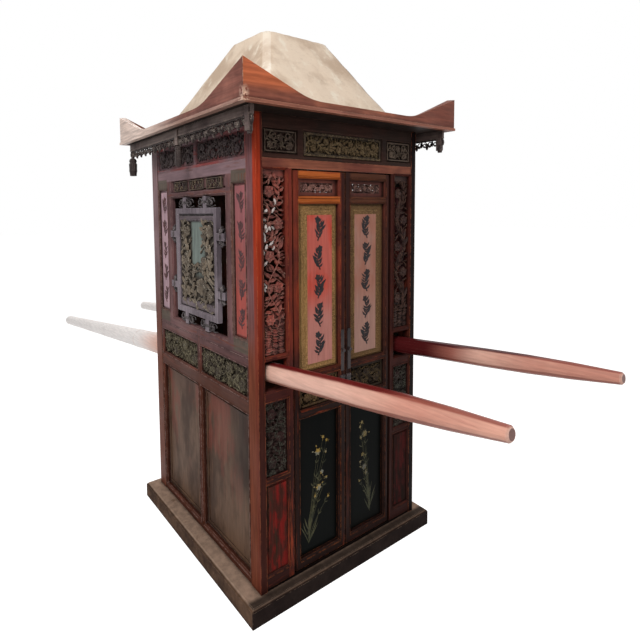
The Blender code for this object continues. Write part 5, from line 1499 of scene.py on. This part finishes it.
def drop(shape, u, head, foot, half_width, depth):
    """A turned drop, from its collar down to its tassel."""
    rings = []
    for share, wide in DROP_PROFILE:
        height = head - share * (head - foot)
        rings.append([(u + wide * half_width * cos(2 * pi * k / DROP_SIDES), height,
                       depth + wide * half_width * 0.8 * sin(2 * pi * k / DROP_SIDES))
                      for k in range(DROP_SIDES)])
    loft(shape, rings)


valance_board = timber("valance_board", (122, 106, 100), (82, 68, 66), (176, 156, 144), "y",
                       streaks=(130, 96, 88), streak_span=(0.60, 0.76))
valance_lace = carved("valance_lace", (60, 50, 48), (46, 38, 38), (158, 144, 134), 0.010, 0.85, rub=0.95)
for side, _ in SIDES:
    boards = bmesh.new()
    plate(boards, VALANCE_ACROSS, (VALANCE_BOARD_FOOT, VALANCE_TOP), -VALANCE_DEPTH, -0.001)
    plate(boards, VALANCE_ACROSS, (VALANCE_BOARD_FOOT - 0.001, VALANCE_BOARD_FOOT + 0.004), -0.0012, 0.0008,
          0.0006)
    for u, foot in STILES:
        plate(boards, (u - STILE_HALF, u + STILE_HALF), (foot, VALANCE_TOP - 0.001), -VALANCE_DEPTH + 0.001,
              0.0028, 0.0012)
    carving("valance_boards_" + side, boards, side, VALANCE_FACE, valance_board,
            instead_of=("valance_" + side,))
    lace = bmesh.new()
    pitch = (VALANCE_ACROSS[1] - VALANCE_ACROSS[0]) / LACE_PITCHES
    plate(lace, VALANCE_ACROSS, (LACE_TOP - 0.006, LACE_TOP), -VALANCE_DEPTH + 0.002, -0.002, 0.0008)
    for i in range(LACE_PITCHES):
        u = VALANCE_ACROSS[0] + (i + 0.5) * pitch
        for part in (-1, 1):
            scroll(lace, u + part * 0.0115, LACE_TOP - 0.016, 0.0115, pi / 2 * (1 - part) + pi / 2,
                   1.35 * part, -0.0085, -0.001, 0.0042)
            leaf(lace, u + part * 0.004, LACE_TOP - 0.022, -pi / 2 + part * 1.1, 0.014, 0.008, -0.008, -0.001,
                 part)
            leaf(lace, u + part * pitch / 2, LACE_TOP - 0.004, -pi / 2, 0.022, 0.010, -0.008, -0.002)
        leaf(lace, u, LACE_TOP - 0.018, -pi / 2, 0.018, 0.011, -0.0085, -0.0005)
        blossom(lace, u, LACE_TOP - 0.017, 0.0066, 5, -0.007, 0.0005)
    for u, head, foot, half_width in DROPS:
        drop(lace, u, head, foot, half_width, -VALANCE_DEPTH / 2)
    carving("valance_lace_" + side, lace, side, VALANCE_FACE, valance_lace)


# Poles: long tapered poles of polished wood that pass through the front and rear holes. They are a
# pale pink-brown, darker red along the top near the cabin, painted darker under the outer edge as
# shade, and with a worn end.
POLE_REST = (0.390, 0.657)
POLES = {
    # pole: its side, its fall for each metre rearwards, the place of its front tip, its darkest red
    "left": (-1, 0.117881, -1.120, (98, 18, 20)),
    "right": (1, 0.097643, -1.095, (74, 14, 18)),
}
POLE_OFFSET = 0.299
POLE_TAPER = 0.370
POLE_TIP_RADIUS = 0.0165
POLE_RADIUS = 0.0305
DARK_TOP_END = (0.36, 0.30)
DARK_TOP_FADE = (-0.72, -0.60)


def bleached(tree):
    return ramp(tree, "Y", 0.42, 0.75)


def paler(tree):
    return ramp(tree, "Y", -0.95, -0.60)


for side, (sign, fall, tip, darkest) in POLES.items():

    def off_axis(tree, fall=fall, sign=sign):
        """How far the point lies aside of the pole's axis, and how far over it."""
        ahead = calculate(tree, "SUBTRACT", POLE_REST[0], measure(tree, "Y"))
        axis = calculate(tree, "ADD", times(tree, ahead, fall), POLE_REST[1])
        return (calculate(tree, "SUBTRACT", measure(tree, "X"), sign * POLE_OFFSET),
                calculate(tree, "SUBTRACT", measure(tree, "Z"), axis))

    def upward(tree, tip=tip, off_axis=off_axis):
        """One along the pole's top and inner edge, minus one under its outer edge."""
        aside, over = off_axis(tree)
        radius = add_node(tree, "MapRange", {"Value": measure(tree, "Y"), "From Min": tip,
                                             "From Max": tip + POLE_TAPER, "To Min": POLE_TIP_RADIUS,
                                             "To Max": POLE_RADIUS}).outputs[0]
        rag = times(tree, cloud(tree, place_on(tree, (1, 0.12, 1)), 40.0, 3.0), 0.20)
        along = calculate(tree, "ADD", times(tree, aside, 0.40), times(tree, over, 0.917))
        return calculate(tree, "ADD", calculate(tree, "DIVIDE", along, radius), rag)

    def dark_top(tree, side=side, upward=upward):
        kept = spread(tree, upward(tree), 0.56, 0.80)
        if side == "right":
            kept = calculate(tree, "MAXIMUM", kept, ramp(tree, "Y", *DARK_TOP_FADE))
        return times(tree, kept, ramp(tree, "Y", *DARK_TOP_END))

    def darkest_top(tree, dark_top=dark_top, upward=upward):
        """The darkest red, in a broad stripe that thins out away from the cabin."""
        stripe = calculate(tree, "SUBTRACT", upward(tree), ramp(tree, "Y", -1.02, -0.62, 0.98, 0.44))
        whole = calculate(tree, "MAXIMUM", spread(tree, stripe, 0.0, 0.10), ramp(tree, "Y", -0.64, -0.50))
        return times(tree, whole, times(tree, dark_top(tree), ramp(tree, "Y", -1.02, -0.80)))

    # Painted shade under the pole's outer edge.
    def under_edge_shade(tree, upward=upward):
        return times(tree, spread(tree, upward(tree), -0.66, -0.76), ramp(tree, "Y", *DARK_TOP_END))

    def worn_end(tree, tip=tip):
        return ramp(tree, "Y", tip + 0.006, tip + 0.001)

    def end_heart(tree, worn_end=worn_end, off_axis=off_axis):
        aside, over = off_axis(tree)
        away = calculate(tree, "SQRT", calculate(tree, "ADD", times(tree, aside, aside),
                                                 times(tree, over, over)))
        return times(tree, worn_end(tree), spread(tree, away, 0.0125, 0.0100))

    dress("pole_" + side, timber(
        "pole_wood_" + side, (216, 160, 140), (200, 138, 120), (236, 200, 184), "y", (0.28, 0.42),
        grain_scale=160.0, grain_depth=0.14, patch_scale=3.0, gloss=0.2, grime_and_shade=0.3, streaks=(180, 110, 96),
        streak_span=(0.58, 0.78),
        late_bands=((paler, (240, 200, 182), 0.55), (under_edge_shade, (140, 76, 62), 0.8),
                    (dark_top, (142, 66, 54), 0.85), (darkest_top, darkest, 0.97),
                    (bleached, (253, 246, 242), 0.96),
                    (worn_end, (208, 164, 148), 0.9), (end_heart, (104, 58, 50), 0.92))))
